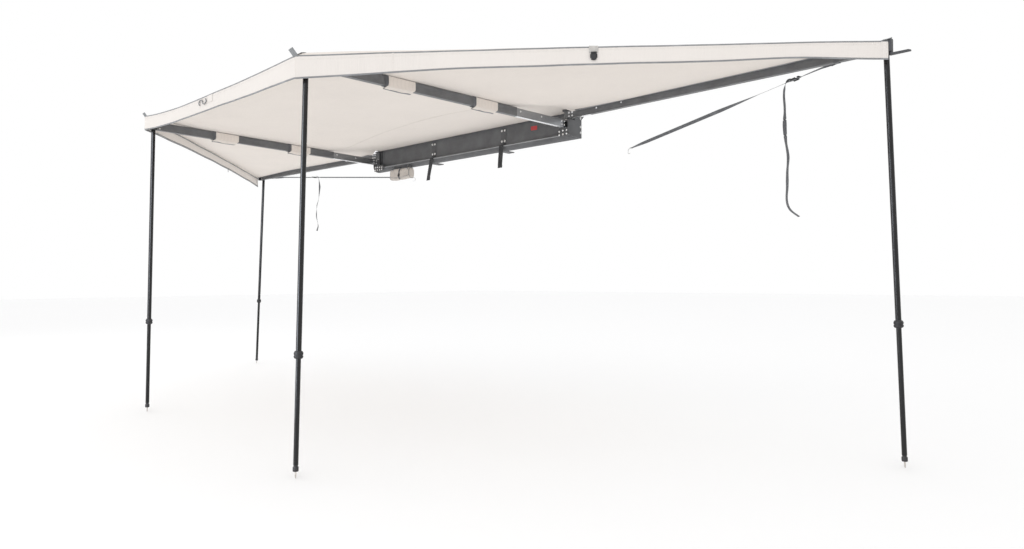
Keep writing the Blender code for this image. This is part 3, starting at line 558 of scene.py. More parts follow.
def sheet_solid(points, thickness, normals=None):
    """(verts, faces, how many faces each side has) of a grid thickened about itself."""
    rows, cols = points.shape[:2]
    normals = grid_normals(points) if normals is None else normals
    top = (points + normals * thickness / 2).reshape(-1, 3)
    low = (points - normals * thickness / 2).reshape(-1, 3)
    verts = np.vstack([top, low])
    n = rows * cols
    index = np.arange(n).reshape(rows, cols)
    a, b = index[:-1, :-1].ravel(), index[1:, :-1].ravel()
    c, d = index[1:, 1:].ravel(), index[:-1, 1:].ravel()
    upper = np.stack([a, b, c, d], 1)
    lower = np.stack([a + n, d + n, c + n, b + n], 1)
    ring = np.concatenate([index[0, :-1], index[:-1, -1], index[-1, :0:-1], index[:0:-1, 0]])
    after = np.roll(ring, -1)
    rim = np.stack([ring, after, after + n, ring + n], 1)
    every = np.vstack([upper, lower, rim])
    across = np.cross(points[1:, :-1] - points[:-1, :-1], points[:-1, 1:] - points[:-1, :-1])
    if (across * normals[:-1, :-1]).sum() < 0:
        every = every[:, ::-1]
    faces = [tuple(int(i) for i in f) for f in every]
    return verts, faces, len(upper)


def sheet_piece(name, points, thickness, mat, body=None, slot=None, normals=None, sharp=50.0):
    """A thin cloth piece from a grid. With normals given it is shaded by them."""
    verts, faces, count = sheet_solid(points, thickness, normals)
    obj = piece(name, verts, faces, mat, None, slot, sharp)
    if normals is not None:
        flat = normals.reshape(-1, 3)
        both = np.vstack([flat, -flat])
        mesh = obj.data
        custom = []
        for poly in mesh.polygons:
            for corner in poly.vertices:
                custom.append(tuple(both[corner]) if poly.index < 2 * count else tuple(poly.normal))
        mesh.normals_split_custom_set(custom)
    if body:
        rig.ride(obj, body)
    return obj


def area_of(points):
    """Area of a grid of points."""
    a = points[1:, 1:] - points[:-1, :-1]
    b = points[1:, :-1] - points[:-1, 1:]
    return float(np.linalg.norm(np.cross(a, b), axis=2).sum() / 2)


def frames_along(path, side):
    """Unit tangents, sides and ups of a path, with the wanted side made square."""
    path = np.array(path, float)
    tangent = np.gradient(path, axis=0)
    tangent /= np.linalg.norm(tangent, axis=1, keepdims=True)
    side = np.broadcast_to(np.array(side, float), path.shape).copy()
    side -= (side * tangent).sum(1, keepdims=True) * tangent
    side /= np.linalg.norm(side, axis=1, keepdims=True)
    return path, tangent, side, np.cross(tangent, side)


def ribbon(path, side, width, thickness):
    """(verts, faces) of flat webbing along a path, its width along side."""
    path, tangent, side, up = frames_along(path, side)
    w, t = width / 2, thickness / 2
    loop = [(-w, 0.0), (-w * 0.92, t), (0.0, t * 1.15), (w * 0.92, t), (w, 0.0),
            (w * 0.92, -t), (0.0, -t * 1.15), (-w * 0.92, -t)]
    verts = [p + s * a + u * b for p, s, u in zip(path, side, up) for a, b in loop]
    faces = []
    k = len(loop)
    for i in range(len(path) - 1):
        for j in range(k):
            m = (j + 1) % k
            faces.append((i * k + j, i * k + m, (i + 1) * k + m, (i + 1) * k + j))
    faces.append(tuple(range(k))[::-1])
    faces.append(tuple((len(path) - 1) * k + j for j in range(k)))
    return verts, faces


def tube(path, radius, sides=12, closed=False):
    """(verts, faces) of a round bar along a path."""
    path = np.array(path, float)
    if closed:
        tangent = np.roll(path, -1, 0) - np.roll(path, 1, 0)
    else:
        tangent = np.gradient(path, axis=0)
    tangent /= np.linalg.norm(tangent, axis=1, keepdims=True)
    verts, faces = [], []
    guess = np.array((0.0, 0.0, 1.0)) if abs(tangent[0][2]) < 0.9 else np.array((1.0, 0.0, 0.0))
    for p, t in zip(path, tangent):
        side = np.cross(t, guess)
        side /= np.linalg.norm(side)
        up = np.cross(side, t)
        guess = up
        for j in range(sides):
            a = 2 * math.pi * j / sides
            verts.append(p + side * radius * math.cos(a) + up * radius * math.sin(a))
    count = len(path)
    for i in range(count if closed else count - 1):
        n = (i + 1) % count
        for j in range(sides):
            m = (j + 1) % sides
            faces.append((i * sides + j, i * sides + m, n * sides + m, n * sides + j))
    if not closed:
        faces.append(tuple(range(sides))[::-1])
        faces.append(tuple((count - 1) * sides + j for j in range(sides)))
    return verts, faces


def lathe(profile, sides, matrix):
    """(verts, faces) of a solid turned about Z from (radius, height) points; its ends close."""
    verts, faces = [], []
    for radius, height in profile:
        for j in range(sides):
            a = 2 * math.pi * j / sides
            verts.append(matrix @ Vector((radius * math.cos(a), radius * math.sin(a), height)))
    for i in range(len(profile) - 1):
        for j in range(sides):
            m = (j + 1) % sides
            faces.append((i * sides + j, i * sides + m, (i + 1) * sides + m, (i + 1) * sides + j))
    faces.append(tuple(range(sides))[::-1])
    faces.append(tuple((len(profile) - 1) * sides + j for j in range(sides)))
    return verts, faces


def ring_lathe(profile, sides, matrix):
    """(verts, faces) of a ring: a closed loop of (radius, height) points turned about Z."""
    verts, faces = [], []
    count = len(profile)
    for radius, height in profile:
        for j in range(sides):
            a = 2 * math.pi * j / sides
            verts.append(matrix @ Vector((radius * math.cos(a), radius * math.sin(a), height)))
    for i in range(count):
        n = (i + 1) % count
        for j in range(sides):
            m = (j + 1) % sides
            faces.append((i * sides + j, i * sides + m, n * sides + m, n * sides + j))
    return verts, faces


def facing(at, axis):
    """Matrix whose +Z runs along axis from a point."""
    axis = Vector(axis).normalized()
    return Matrix.Translation(Vector(at)) @ axis.to_track_quat("Z", "Y").to_matrix().to_4x4()


def cap_screw(at, axis, radius, height):
    """Domed screw on a washer, with a six-sided socket in its face."""
    m = facing(at, axis)
    heap = Heap()
    heap.add(*lathe([(radius * 1.42, 0.0), (radius * 1.45, radius * 0.10),
                     (radius * 1.40, radius * 0.20), (radius * 0.9, radius * 0.21)], 24, m))
    low = radius * 0.19
    heap.add(*lathe([(radius, low), (radius, low + height * 0.35), (radius * 0.93, low + height * 0.62),
                     (radius * 0.74, low + height * 0.88), (radius * 0.56, low + height)], 24, m))
    hexes = []
    for r, z in ((0.50, low + height * 1.012), (0.46, low + height * 1.03), (0.40, low + height * 1.012),
                 (0.36, low + height * 0.90)):
        hexes.append((radius * r, z))
    heap.add(*ring_lathe([(radius * 0.60, low + height * 0.94), (radius * 0.56, low + height * 1.06),
                          (radius * 0.40, low + height * 1.06), (radius * 0.36, low + height * 0.94)], 6, m))
    return heap.verts, heap.faces


def rivet(at, axis, radius, height):
    m = facing(at, axis)
    return lathe([(radius, 0.0), (radius, height * 0.2), (radius * 0.92, height * 0.55),
                  (radius * 0.68, height * 0.86), (radius * 0.34, height), (radius * 0.30, height * 0.86),
                  (radius * 0.08, height * 0.80)], 18, m)


def rounded_loop(width, height, radius, steps=5):
    points = []
    for sx, sy, start in ((1, 1, 0), (-1, 1, 90), (-1, -1, 180), (1, -1, 270)):
        cx, cy = sx * (width / 2 - radius), sy * (height / 2 - radius)
        for i in range(steps + 1):
            a = math.radians(start + 90 * i / steps)
            points.append((cx + radius * math.cos(a), cy + radius * math.sin(a)))
    return points


def plate_solid(loop, low, high, place, edge=0.0006):
    """A plate with softened rims: loop in two coordinates, pushed from low to high."""
    cx = sum(a for a, _ in loop) / len(loop)
    cy = sum(b for _, b in loop) / len(loop)

    def drawn_in(by):
        out = []
        for a, b in loop:
            size = math.hypot(a - cx, b - cy) or 1.0
            out.append((a - (a - cx) / size * by, b - (b - cy) / size * by))
        return out

    rows = [(drawn_in(edge), low), (loop, low + edge), (loop, high - edge), (drawn_in(edge), high)]
    verts = [place(a, b, c) for ring, c in rows for a, b in ring]
    k = len(loop)
    faces = [tuple(range(k))[::-1], tuple(3 * k + j for j in range(k))]
    for i in range(3):
        for j in range(k):
            m = (j + 1) % k
            faces.append((i * k + j, i * k + m, (i + 1) * k + m, (i + 1) * k + j))
    return verts, faces


def stitches(lines, pitch, size, lift):
    """Short raised threads along polylines of (point, normal) pairs."""
    heap = Heap()
    for points, normals in lines:
        points, normals = np.array(points, float), np.array(normals, float)
        seg = np.linalg.norm(np.diff(points, axis=0), axis=1)
        run = np.concatenate([[0.0], np.cumsum(seg)])
        count = max(2, int(run[-1] / pitch))
        at = (np.arange(count) + 0.5) * run[-1] / count
        half = 0.31 * run[-1] / count
        ends = []
        for shift in (-half, half):
            ends.append(np.stack([np.interp(at + shift, run, points[:, k]) for k in range(3)], 1))
        ups = np.stack([np.interp(at, run, normals[:, k]) for k in range(3)], 1)
        for a, b, n in zip(ends[0], ends[1], ups):
            t = b - a
            length = np.linalg.norm(t)
            if length < 1e-6:
                continue
            s = np.cross(t / length, n) * size
            m = (a + b) / 2
            heap.add([a - n * lift * 0.4, m + s, m - s, m + n * lift, b - n * lift * 0.4, m - n * lift * 0.5],
                     [(0, 1, 3), (0, 3, 2), (4, 3, 1), (4, 2, 3), (0, 5, 1), (0, 2, 5), (4, 1, 5), (4, 5, 2)])
    return heap


# ---------------------------------------------------------------- the camera
lens = bpy.data.cameras.new("camera")
lens.sensor_width = 36.0
lens.lens = 24.549
lens.clip_start, lens.clip_end = 0.05, 200.0
camera = bpy.data.objects.new("camera", lens)
bpy.context.scene.collection.objects.link(camera)
yaw, pitch, roll = (math.radians(x) for x in (132.144, 0.467, -0.199))
look = Vector((math.cos(yaw) * math.cos(pitch), math.sin(yaw) * math.cos(pitch), math.sin(pitch)))
right = Vector((math.sin(yaw), -math.cos(yaw), 0.0))
above = right.cross(look)
right, above = (
    right * math.cos(roll) + above * math.sin(roll),
    above * math.cos(roll) - right * math.sin(roll),
)
turned = Matrix((right, above, -look)).transposed().to_4x4()
camera.matrix_world = Matrix.Translation((4.0933, -3.9804, -1.0973)) @ turned
bpy.context.scene.camera = camera

# ------------------------------------------------------- the tie-back straps
VIEW_RIGHT = Vector((0.746, 0.666, 0.0))
VIEW_NEAR = Vector((0.666, -0.746, 0.0))
TIES = {
    "rear": ("wing_rear", (1.802, 0.0175, 0.0310), Vector((1.240, 0.515, -0.106)), 0.152,
             ((-0.0105, -0.0210, 0.009), (-0.022, -0.036, 0.006), (-0.033, -0.045, -0.012),
              (-0.039, -0.048, -0.045), (-0.041, -0.048, -0.085), (-0.037, -0.048, -0.150),
              (-0.038, -0.048, -0.250), (-0.032, -0.048, -0.335), (-0.020, -0.048, -0.420),
              (-0.025, -0.048, -0.505), (-0.026, -0.048, -0.588), (-0.029, -0.048, -0.665),
              (-0.011, -0.048, -0.717), (0.039, -0.048, -0.757)),
             ((0.0, 90), (0.020, 72), (0.050, 42), (0.118, 30), (0.140, 0), (0.164, 0), (0.190, 24), (0.30, 22),
              (0.48, -40), (0.90, -40), (0.985, 0), (1.0, 0)),
             ((0.0, 60), (0.06, 82), (0.12, 84), (0.25, 82), (0.33, 50), (0.40, 62), (0.47, 84), (0.56, 74),
              (0.62, 84), (0.72, 73), (0.83, 84), (1.0, 82))),
    "front": ("wing_front", (1.802, 0.0175, 0.0310), Vector((-1.330, 0.520, -0.066)), 0.316,
              ((0.0215, 0.0085, 0.009), (0.038, 0.028, 0.004), (0.052, 0.045, -0.018),
               (0.060, 0.050, -0.060), (0.064, 0.050, -0.110), (0.060, 0.050, -0.170),
               (0.052, 0.050, -0.245), (0.036, 0.050, -0.300), (0.031, 0.050, -0.370),
               (0.031, 0.050, -0.425), (0.042, 0.050, -0.480), (0.047, 0.050, -0.525),
               (0.035, 0.050, -0.570)),
              ((0.0, 90), (0.030, 70), (0.080, 17), (0.286, 12), (0.304, 0), (0.328, 0), (0.366, 17), (0.90, 17),
               (0.985, 0), (1.0, 0)),
              ((0.0, 80), (0.12, 70), (0.24, 30), (0.40, 66), (0.56, 88), (0.72, 50), (0.86, 74), (1.0, 34))),
}
WEB = 0.025


def smooth_route(points, count):
    """Evenly spaced points on a smooth curve through the route's own points."""
    fine = []
    last = len(points) - 1
    for i in range(last):
        p0 = points[max(i - 1, 0)]
        p1, p2 = points[i], points[i + 1]
        p3 = points[min(i + 2, last)]
        for j in range(40):
            s = j / 40
            fine.append(
                0.5 * (
                    2 * p1 + (p2 - p0) * s + (2 * p0 - 5 * p1 + 4 * p2 - p3) * s * s
                    + (3 * p1 - p0 - 3 * p2 + p3) * s ** 3
                )
            )
    fine.append(points[-1].copy())
    total = [0.0]
    for a, b in zip(fine, fine[1:]):
        total.append(total[-1] + (b - a).length)
    result, j = [], 0
    for i in range(count):
        want = total[-1] * i / (count - 1)
        while j < len(total) - 2 and total[j + 1] < want:
            j += 1
        span = total[j + 1] - total[j]
        s = 0.0 if span == 0 else (want - total[j]) / span
        result.append(fine[j].lerp(fine[j + 1], min(max(s, 0.0), 1.0)))
    return result


def length_of(points):
    return sum((Vector(b) - Vector(a)).length for a, b in zip(points, points[1:]))


def gather(obj, side, top):
    """An unhooked tie-back gathers under its arm as the arm folds."""
    u = arm_direction("wing_" + side)
    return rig.squash(obj, "fold_wing_" + side, axis=Vector((-u.y, u.x, 0.0)), anchor=top, keep=0.03)


for side, (arm, begin, hook, part, tail, rolls, turns) in TIES.items():
    top = along(arm, *begin)
    buckle = top.lerp(hook, part)
    run = (hook - top).normalized()
    across = run.cross(Vector((0.0, 0.0, 1.0))).normalized()
    lift = across.cross(run).normalized()
    lift = -lift if lift.z < 0 else lift
    # steel hook on the far end, with the bar that the webbing is sewn round
    bend = [hook - run * 0.0010, hook + run * 0.0100]
    for i in range(8):
        a = math.pi * 1.15 * i / 7
        bend.append(hook + run * (0.024 + 0.018 * math.sin(a)) + Vector((0.0, 0.0, -0.018 + 0.018 * math.cos(a))))
    heap = Heap()
    heap.add(*tube(smooth_route(bend, 48), 0.0034, 12))
    heap.add(*tube([hook + run * 0.0006 + across * x for x in (-0.0145, -0.0060, 0.0060, 0.0145)], 0.0022, 10))
    end_hook = heap.piece("tie_end_hook_" + side, STEEL, arm, "pin_steel")
    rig.replaces(end_hook, "tie_hook_" + side)
    gather(end_hook, side, top)
    # pulled tight from the arm to the hook; it lies flat in its fittings and rolls over between them
    path = [top.lerp(hook, i / 179) for i in range(180)]
    sides = []
    for i in range(180):
        a = math.radians(float(np.interp(i / 179, [k for k, _ in rolls], [w for _, w in rolls])))
        sides.append(np.array(across * math.cos(a) + lift * math.sin(a)))
    strap = piece("tie_webbing_" + side, *ribbon(path, np.array(sides), WEB, 0.0015), STRAP_GREY, arm, "strap_grey")
    taut, taut_path = strap, [top.lerp(hook, i / 59) for i in range(60)]
    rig.replaces(taut, "tie_strap_" + side)
    gather(taut, side, top)
    # the tail: it turns edge-on and flat by turns as it hangs
    points = [buckle + VIEW_RIGHT * a + VIEW_NEAR * b + Vector((0.0, 0.0, c)) for a, b, c in tail]
    path = smooth_route(points, 140)
    total = length_of(path)
    sides = []
    for i in range(len(path)):
        s = i / (len(path) - 1)
        a = math.radians(float(np.interp(s, [k for k, _ in turns], [w for _, w in turns])))
        flat = VIEW_RIGHT * math.cos(a) + VIEW_NEAR * math.sin(a)
        start = min(1.0, s / 0.09)
        sides.append(np.array(across * (1 - start) + flat * start * (1 if across.dot(flat) >= 0 else -1)))
    strap = piece("tie_tail_webbing_" + side, *ribbon(path, np.array(sides), WEB, 0.0015),
                  STRAP_GREY, arm, "strap_grey")
    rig.replaces(strap, "tie_tail_" + side)
    gather(strap, side, top)
    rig.cord(strap, exit=path[0], length=total, diameter=WEB, far_end="bare", stiffness="limp",
            lay="hanging", path=path)
    # ladder buckle: two side rails, four bars and a thumb tab
    heap = Heap()
    for at in (-0.0156, 0.0156):
        rail = [(at - 0.0019, -0.0185), (at + 0.0019, -0.0185), (at + 0.0019, 0.0195), (at - 0.0019, 0.0195)]
        heap.add(*plate_solid(rail, -0.0045, 0.0048,
                              lambda a, b, c, o=buckle, x=across, y=run, z=lift: o + x * a + y * b + z * c, 0.0009))
    for c in (-0.0165, -0.004, 0.0085, 0.0178):
        heap.add(*tube([buckle + run * c + across * x + lift * (0.0030 if c > -0.01 else -0.0028)
                        for x in (-0.0150, -0.005, 0.005, 0.0150)], 0.0016, 10))
    tab = [(-0.0130, 0.0), (0.0130, 0.0), (0.0110, 0.012), (0.0050, 0.0165), (-0.0050, 0.0165), (-0.0110, 0.012)]
    heap.add(*plate_solid(tab, 0.0050, 0.0074,
                          lambda a, b, c, o=buckle - run * 0.0355, x=across, y=run, z=lift: o + x * a + y * b + z * c))
    body = heap.piece("tie_buckle_body_" + side, PLASTIC, arm, "buckle_black")
    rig.replaces(body, "tie_buckle_" + side)
    gather(body, side, top)
    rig.cord(taut, exit=top, length=(hook - top).length, diameter=WEB, far_end="fitting",
            stiffness="limp", lay="taut", path=taut_path, with_pieces=[end_hook, body])
    # loop round the arm that the strap starts from, and the tongue of webbing that runs from it to the strap
    centre = along(arm, begin[0] + 0.006, 0.0, WING_Z)
    u = arm_direction(arm)
    v = Vector((-u.y, u.x, 0.0)) * mirror_of(arm)
    loop = rounded_loop(ARM_W + 0.0036, ARM_H + 0.0036, 0.0045, 4)
    ring = [centre + v * a + Vector((0, 0, 1)) * b for a, b in loop]
    heap = Heap()
    verts, faces = [], []
    for p, (a, b) in zip(ring, loop):
        n = (v * a + Vector((0, 0, b))).normalized()
        for du, dn in ((-WEB / 2, 0.0), (WEB / 2, 0.0), (WEB / 2, 0.0014), (-WEB / 2, 0.0014)):
            verts.append(p + u * du + n * dn)
    k = len(ring)
    for i in range(k):
        m = (i + 1) % k
        for j in range(4):
            q = (j + 1) % 4
            faces.append((i * 4 + j, i * 4 + q, m * 4 + q, m * 4 + j))
    heap.add(verts, faces)
    tongue = [centre + v * 0.0182 + Vector((0, 0, -0.016)), top - run * 0.004 + v * 0.0012,
              top + run * 0.012 + v * 0.0016, top + run * 0.034 + v * 0.0015]
    heap.add(*ribbon(smooth_route(tongue, 30), lift, WEB, 0.0012))
    heap.piece("arm_loop_" + side, STRAP_GREY, arm, "strap_grey", 60)

# ------------------------------------------------------------------- canopy
T_CANVAS = 0.0013


def fall(r):
    s = min(max((r - 0.02) / 0.62, 0.0), 1.0)
    return (1.0 - s) ** 2 * (1.0 + 2.0 * s)


def over_arm(r, reach, corner_z):
    base = 0.0185
    lift = (corner_z - base) * ((r - 1.60) / (reach - 1.60)) ** 2 if r > 1.60 else 0.0
    return base + (RAIL_Z - base) * fall(r) + lift


def waves(x, y, seed):
    """Slow uneven ripples between -1 and 1."""
    return (
        math.sin(3.1 * x + 1.7 * y + seed) * 0.42
        + math.sin(5.3 * x - 4.1 * y + seed * 2.3) * 0.28
        + math.sin(-2.2 * x + 7.4 * y + seed * 0.7) * 0.20
        + math.sin(11.0 * x + 9.0 * y + seed * 1.9) * 0.10
    )


def corner_folds(point, corner, towards, reach, depth, count):
    """Shallow folds that fan out of a pulled corner."""
    d = Vector((point.x - corner.x, point.y - corner.y, 0.0))
    size = d.length
    if size < 1e-4 or size > reach:
        return 0.0
    angle = math.atan2(d.y, d.x) - towards
    share = size / reach
    return depth * math.sin(angle * count) * (share * (1 - share) ** 2) * 4.0


def aside(r):
    """How far the seam on the rear centre arm runs off to the side, near its tip."""
    return B_ASIDE * max(0.0, (r - 1.72) / (B_REACH - 1.72)) ** 2


def aside_front(r):
    """The same for the front centre arm."""
    return C_ASIDE * max(0.0, (r - 1.72) / (C_REACH - 1.72)) ** 2


def corner_dip(r):
    return 0.0240 * max(0.0, (r - 2.018) / (B_REACH - 2.018)) ** 1.2


def centre_point(u, rb):
    """Canvas between the centre arms: u from the rear arm to the front one, rb out from the rail."""
    v = (rb + 0.085) / (B_REACH + 0.085)
    rc = float(np.interp(rb, (0.0, 0.10, 0.22, B_REACH), (0.060, 0.130, 0.22, C_REACH)))
    pb = along("centre_rear", max(rb, 0.0), aside(rb) - 0.0004, 0.0)
    pc = along("centre_front", rc, aside_front(rc) - 0.0004, 0.0)
    if rb < 0:
        s = -rb / 0.085
        pb = pb.lerp(Vector((HINGE_X, RAIL_Y, 0.0)), s)
        pc = pc.lerp(Vector((-HINGE_X, RAIL_Y, 0.0)), s)
        rc = 0.060 * (1 - s)
    zb = over_arm(max(rb, 0.0), B_REACH, B_Z) - corner_dip(rb)
    zc = over_arm(rc, C_REACH, C_Z)
    flat = pb.lerp(pc, u)
    arm_like = (2.0 * u - 1.0) ** 2
    straight = RAIL_Z + ((B_Z + (C_Z - B_Z) * u) - RAIL_Z) * v
    sag = 0.040 * 4.0 * u * (1.0 - u) * v * v
    z = arm_like * (zb + (zc - zb) * u) + (1.0 - arm_like) * straight - sag
    open_field = (4.0 * u * (1.0 - u)) * min(1.0, v * 4.0)
    z += 0.0032 * open_field * waves(flat.x * 1.4, flat.y * 1.4, 0.6)
    edge = min(1.0, u * 14.0, (1.0 - u) * 14.0)
    z += edge * corner_folds(flat, along("centre_rear", B_REACH, 0, 0), 2.2, 0.85, 0.0035, 13)
    z += edge * corner_folds(flat, along("centre_front", C_REACH, 0, 0), 1.0, 0.85, 0.0035, 13)
    z += edge * corner_folds(flat, Vector((HINGE_X, -0.10, 0)), 3.5, 0.70, 0.0040, 15)
    z += edge * corner_folds(flat, Vector((-HINGE_X, -0.08, 0)), 0.3, 0.60, 0.0035, 15)
    flat.z = z
    return flat


WINGS = {
    "rear": ("centre_rear", "wing_rear", B_REACH, B_Z, R_REACH, R_Z),
    "front": ("centre_front", "wing_front", C_REACH, C_Z, D_REACH, D_Z),
}


def wing_point(side, u, s):
    """Canvas between a centre arm (u 0) and its wing arm (u 1), s out from the hinge."""
    centre_arm, wing_arm, reach_c, z_c, reach_w, z_w = WINGS[side]
    rc = 0.036 + (reach_c - 0.036) * s
    rw = 0.062 + (reach_w - 0.062) * s
    rear = side == "rear"
    pc = along(centre_arm, rc, 0.0004 + (aside(rc) if rear else aside_front(rc)), 0.0)
    pw = along(wing_arm, rw, -0.0180, 0.0)
    zc = over_arm(rc, reach_c, z_c) - (corner_dip(rc) if rear else 0.0)
    zw = 0.064 + (z_w - 0.064) * max(0.0, (s - 0.7) / 0.3)
    flat = pc.lerp(pw, u)
    hem = max(0.0, (s - 0.78) / 0.22) ** 1.6
    z = zc + (zw - zc) * u - (0.012 * s - 0.0185 * hem) * 4.0 * u * (1.0 - u)
    field = 4.0 * u * (1.0 - u)
    z += 0.0030 * field * s * waves(flat.x * 1.5, flat.y * 1.5, 2.1)
    z += 0.0046 * field * math.sin(u * 17.0 + 0.8) * max(0.0, 1.0 - abs(s - 0.26) / 0.22)
    edge = min(1.0, u * 12.0, (1.0 - u) * 12.0)
    towards = 1.2 if side == "rear" else 1.9
    z += edge * corner_folds(flat, along(centre_arm, reach_c, 0, 0), towards, 0.80, 0.0036, 12)
    z += edge * corner_folds(flat, along(wing_arm, reach_w, 0, 0), towards + 1.5, 0.70, 0.0030, 12)
    flat.z = z
    return flat


def edge_drop(panel, u):
    """Depth of a panel's valance, from its first corner to its second."""
    first, second, less = {
        "centre": (0.112, 0.096, 0.015),
        "rear": (0.113, 0.091, 0.014),
        "front": (0.096, 0.100, 0.018),
    }[panel]
    drop = first + (second - first) * u - less * 4.0 * u * (1.0 - u)
    if panel == "rear":
        # its hem rises in two slow waves
        drop -= 0.006 * math.exp(-((u - 0.26) / 0.10) ** 2) + 0.009 * math.exp(-((u - 0.83) / 0.09) ** 2)
    return drop


def square_out(a, b):
    """Horizontal direction away from the case, square to the line a-b."""
    out = (b - a).cross(Vector((0.0, 0.0, 1.0)))
    out.z = 0.0
    out.normalize()
    return -out if out.y > 0 else out


# grids of the three panels
COLS, ROWS = 112, 104
rbs = [-0.085 + (B_REACH + 0.085) * i / (ROWS - 1) for i in range(ROWS)]
centre_grid = np.array([[centre_point(k / COLS, rb) for k in range(COLS + 1)] for rb in rbs])
W_COLS, W_ROWS = 84, 100
wing_grid = {
    side: np.array([[wing_point(side, k / W_COLS, i / (W_ROWS - 1)) for k in range(W_COLS + 1)]
                    for i in range(W_ROWS)])
    for side in WINGS
}
edges = {"centre": centre_grid[-1], "rear": wing_grid["rear"][-1], "front": wing_grid["front"][-1]}
outs = {k: square_out(Vector(e[0]), Vector(e[-1])) for k, e in edges.items()}

# how far a valance stands off its edge line, with a little life in its lower hem
def stand_off(which, u, s):
    seed = {"centre": 0.3, "rear": 1.9, "front": 4.4}[which]
    calm = min(1.0, u * 9.0, (1.0 - u) * 9.0)
    wave = (math.sin(u * 21.0 + seed) * 0.5 + math.sin(u * 47.0 + seed * 3.0) * 0.3
            + math.sin(u * 9.0 + seed * 5.0) * 0.5)
    return 0.0014 + 0.0009 * math.sin(math.pi * min(s, 1.0)) + calm * 0.0022 * wave * s ** 1.5


def mitre(a, b, corner, out_a, out_b):
    return (out_a + out_b) / (1.0 + out_a.dot(out_b))


def valance_point(which, u, s, z_more=0.0, more=0.0):
    """Point on a valance: u along the edge, s from its top (0) to its hem (1)."""
    line = edges[which]
    x = u * (len(line) - 1)
    i = min(int(x), len(line) - 2)
    top = Vector(line[i]).lerp(Vector(line[i + 1]), x - i)
    out = outs[which].copy()
    off = stand_off(which, u, s) + more
    # the two valances of a corner meet on one vertical line
    if which in ("centre", "rear") and ((which == "centre" and u < 0.02) or (which == "rear" and u < 0.02)):
        share = 1.0 - u / 0.02
        out = out.lerp(mitre(0, 0, 0, outs["centre"], outs["rear"]), share)
    if (which == "centre" and u > 0.98) or (which == "front" and u < 0.02):
        share = (u - 0.98) / 0.02 if which == "centre" else 1.0 - u / 0.02
        out = out.lerp(mitre(0, 0, 0, outs["centre"], outs["front"]), share)
    z = -edge_drop(which, u) * s + z_more
    return top + out * off + Vector((0.0, 0.0, z))


# share each corner's top point between its two panels
for first, second, arm in (("centre", "rear", "centre_rear"), ("centre", "front", "centre_front")):
    a = 0 if first == "centre" and arm == "centre_rear" else -1
    both = (edges["centre"][a] + edges[second][0]) / 2
    edges["centre"][a] = both
    edges[second][0] = both

normals = grid_normals(centre_grid)
normals *= np.sign(normals[..., 2:3])
half = COLS // 2
SQUASH_Y = dict(axis=(0.0, 1.0, 0.0), keep=0.035)


def squash_centre(obj, side):
    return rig.squash(obj, "fold_centre_" + side, anchor=(0.0, -0.062, 0.0), **SQUASH_Y)


def squash_wing(obj, side):
    """A wing gathers along its centre arm as its wing arm folds over it."""
    centre_arm = WINGS[side][0]
    u = arm_direction(centre_arm)
    across = Vector((-u.y, u.x, 0.0))
    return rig.squash(obj, "fold_wing_" + side, axis=across,
                     anchor=hinge_point(centre_arm), keep=0.03)


panels = {}
for side, cols in (("rear", slice(0, half + 1)), ("front", slice(half, COLS + 1))):
    grid = centre_grid[:, cols]
    obj = sheet_piece("canvas_centre_" + side, grid, T_CANVAS, CANVAS, "case", "canvas", normals[:, cols])
    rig.replaces(obj, "canopy_centre")
    panels["centre_" + side] = obj
    squash_centre(obj, side)
    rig.sheet(obj, flat=(1.115, 2.145), held="stretched", rests_on=["canopy_rail", "arm_centre_" + side],
             area=min(area_of(grid), 1.115 * 2.145))
for side in WINGS:
    grid = wing_grid[side]
    obj = sheet_piece("canvas_wing_" + side, grid, T_CANVAS, CANVAS, WINGS[side][0], "canvas")
    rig.replaces(obj, "canopy_wing_" + side)
    panels["wing_" + side] = obj
    squash_wing(obj, side)
    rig.sheet(obj, flat=(2.06, 2.06), held="stretched", rests_on=["arm_" + WINGS[side][0], "arm_" + WINGS[side][1]],
             area=area_of(grid))


def valance_grid(which, u0, u1, count, levels):
    return np.array([[valance_point(which, u0 + (u1 - u0) * k / count, s) for k in range(count + 1)]
                     for s in levels])


LEVELS = [0.0, 0.04, 0.12, 0.22, 0.34, 0.46, 0.58, 0.70, 0.80, 0.88, 0.95, 1.0]
SPANS = {
    "valance_centre_rear": ("centre", 0.0, 0.5, 70, CANVAS_LOW),
    "valance_centre_front": ("centre", 0.5, 1.0, 70, CANVAS_LOW),
    "valance_wing_rear": ("rear", 0.0, 1.0, 150, CANVAS_REAR),
    "valance_wing_front": ("front", 0.0, 1.0, 150, CANVAS_FRONT),
}


def carry(obj, name):
    """Rides and gathers a piece of the canopy's edge with its panel."""
    if "centre" in name:
        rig.ride(obj, "case")
        squash_centre(obj, "rear" if name.endswith("rear") else "front")
    else:
        side = "rear" if name.endswith("rear") else "front"
        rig.ride(obj, WINGS[side][0])
        squash_wing(obj, side)
    return obj


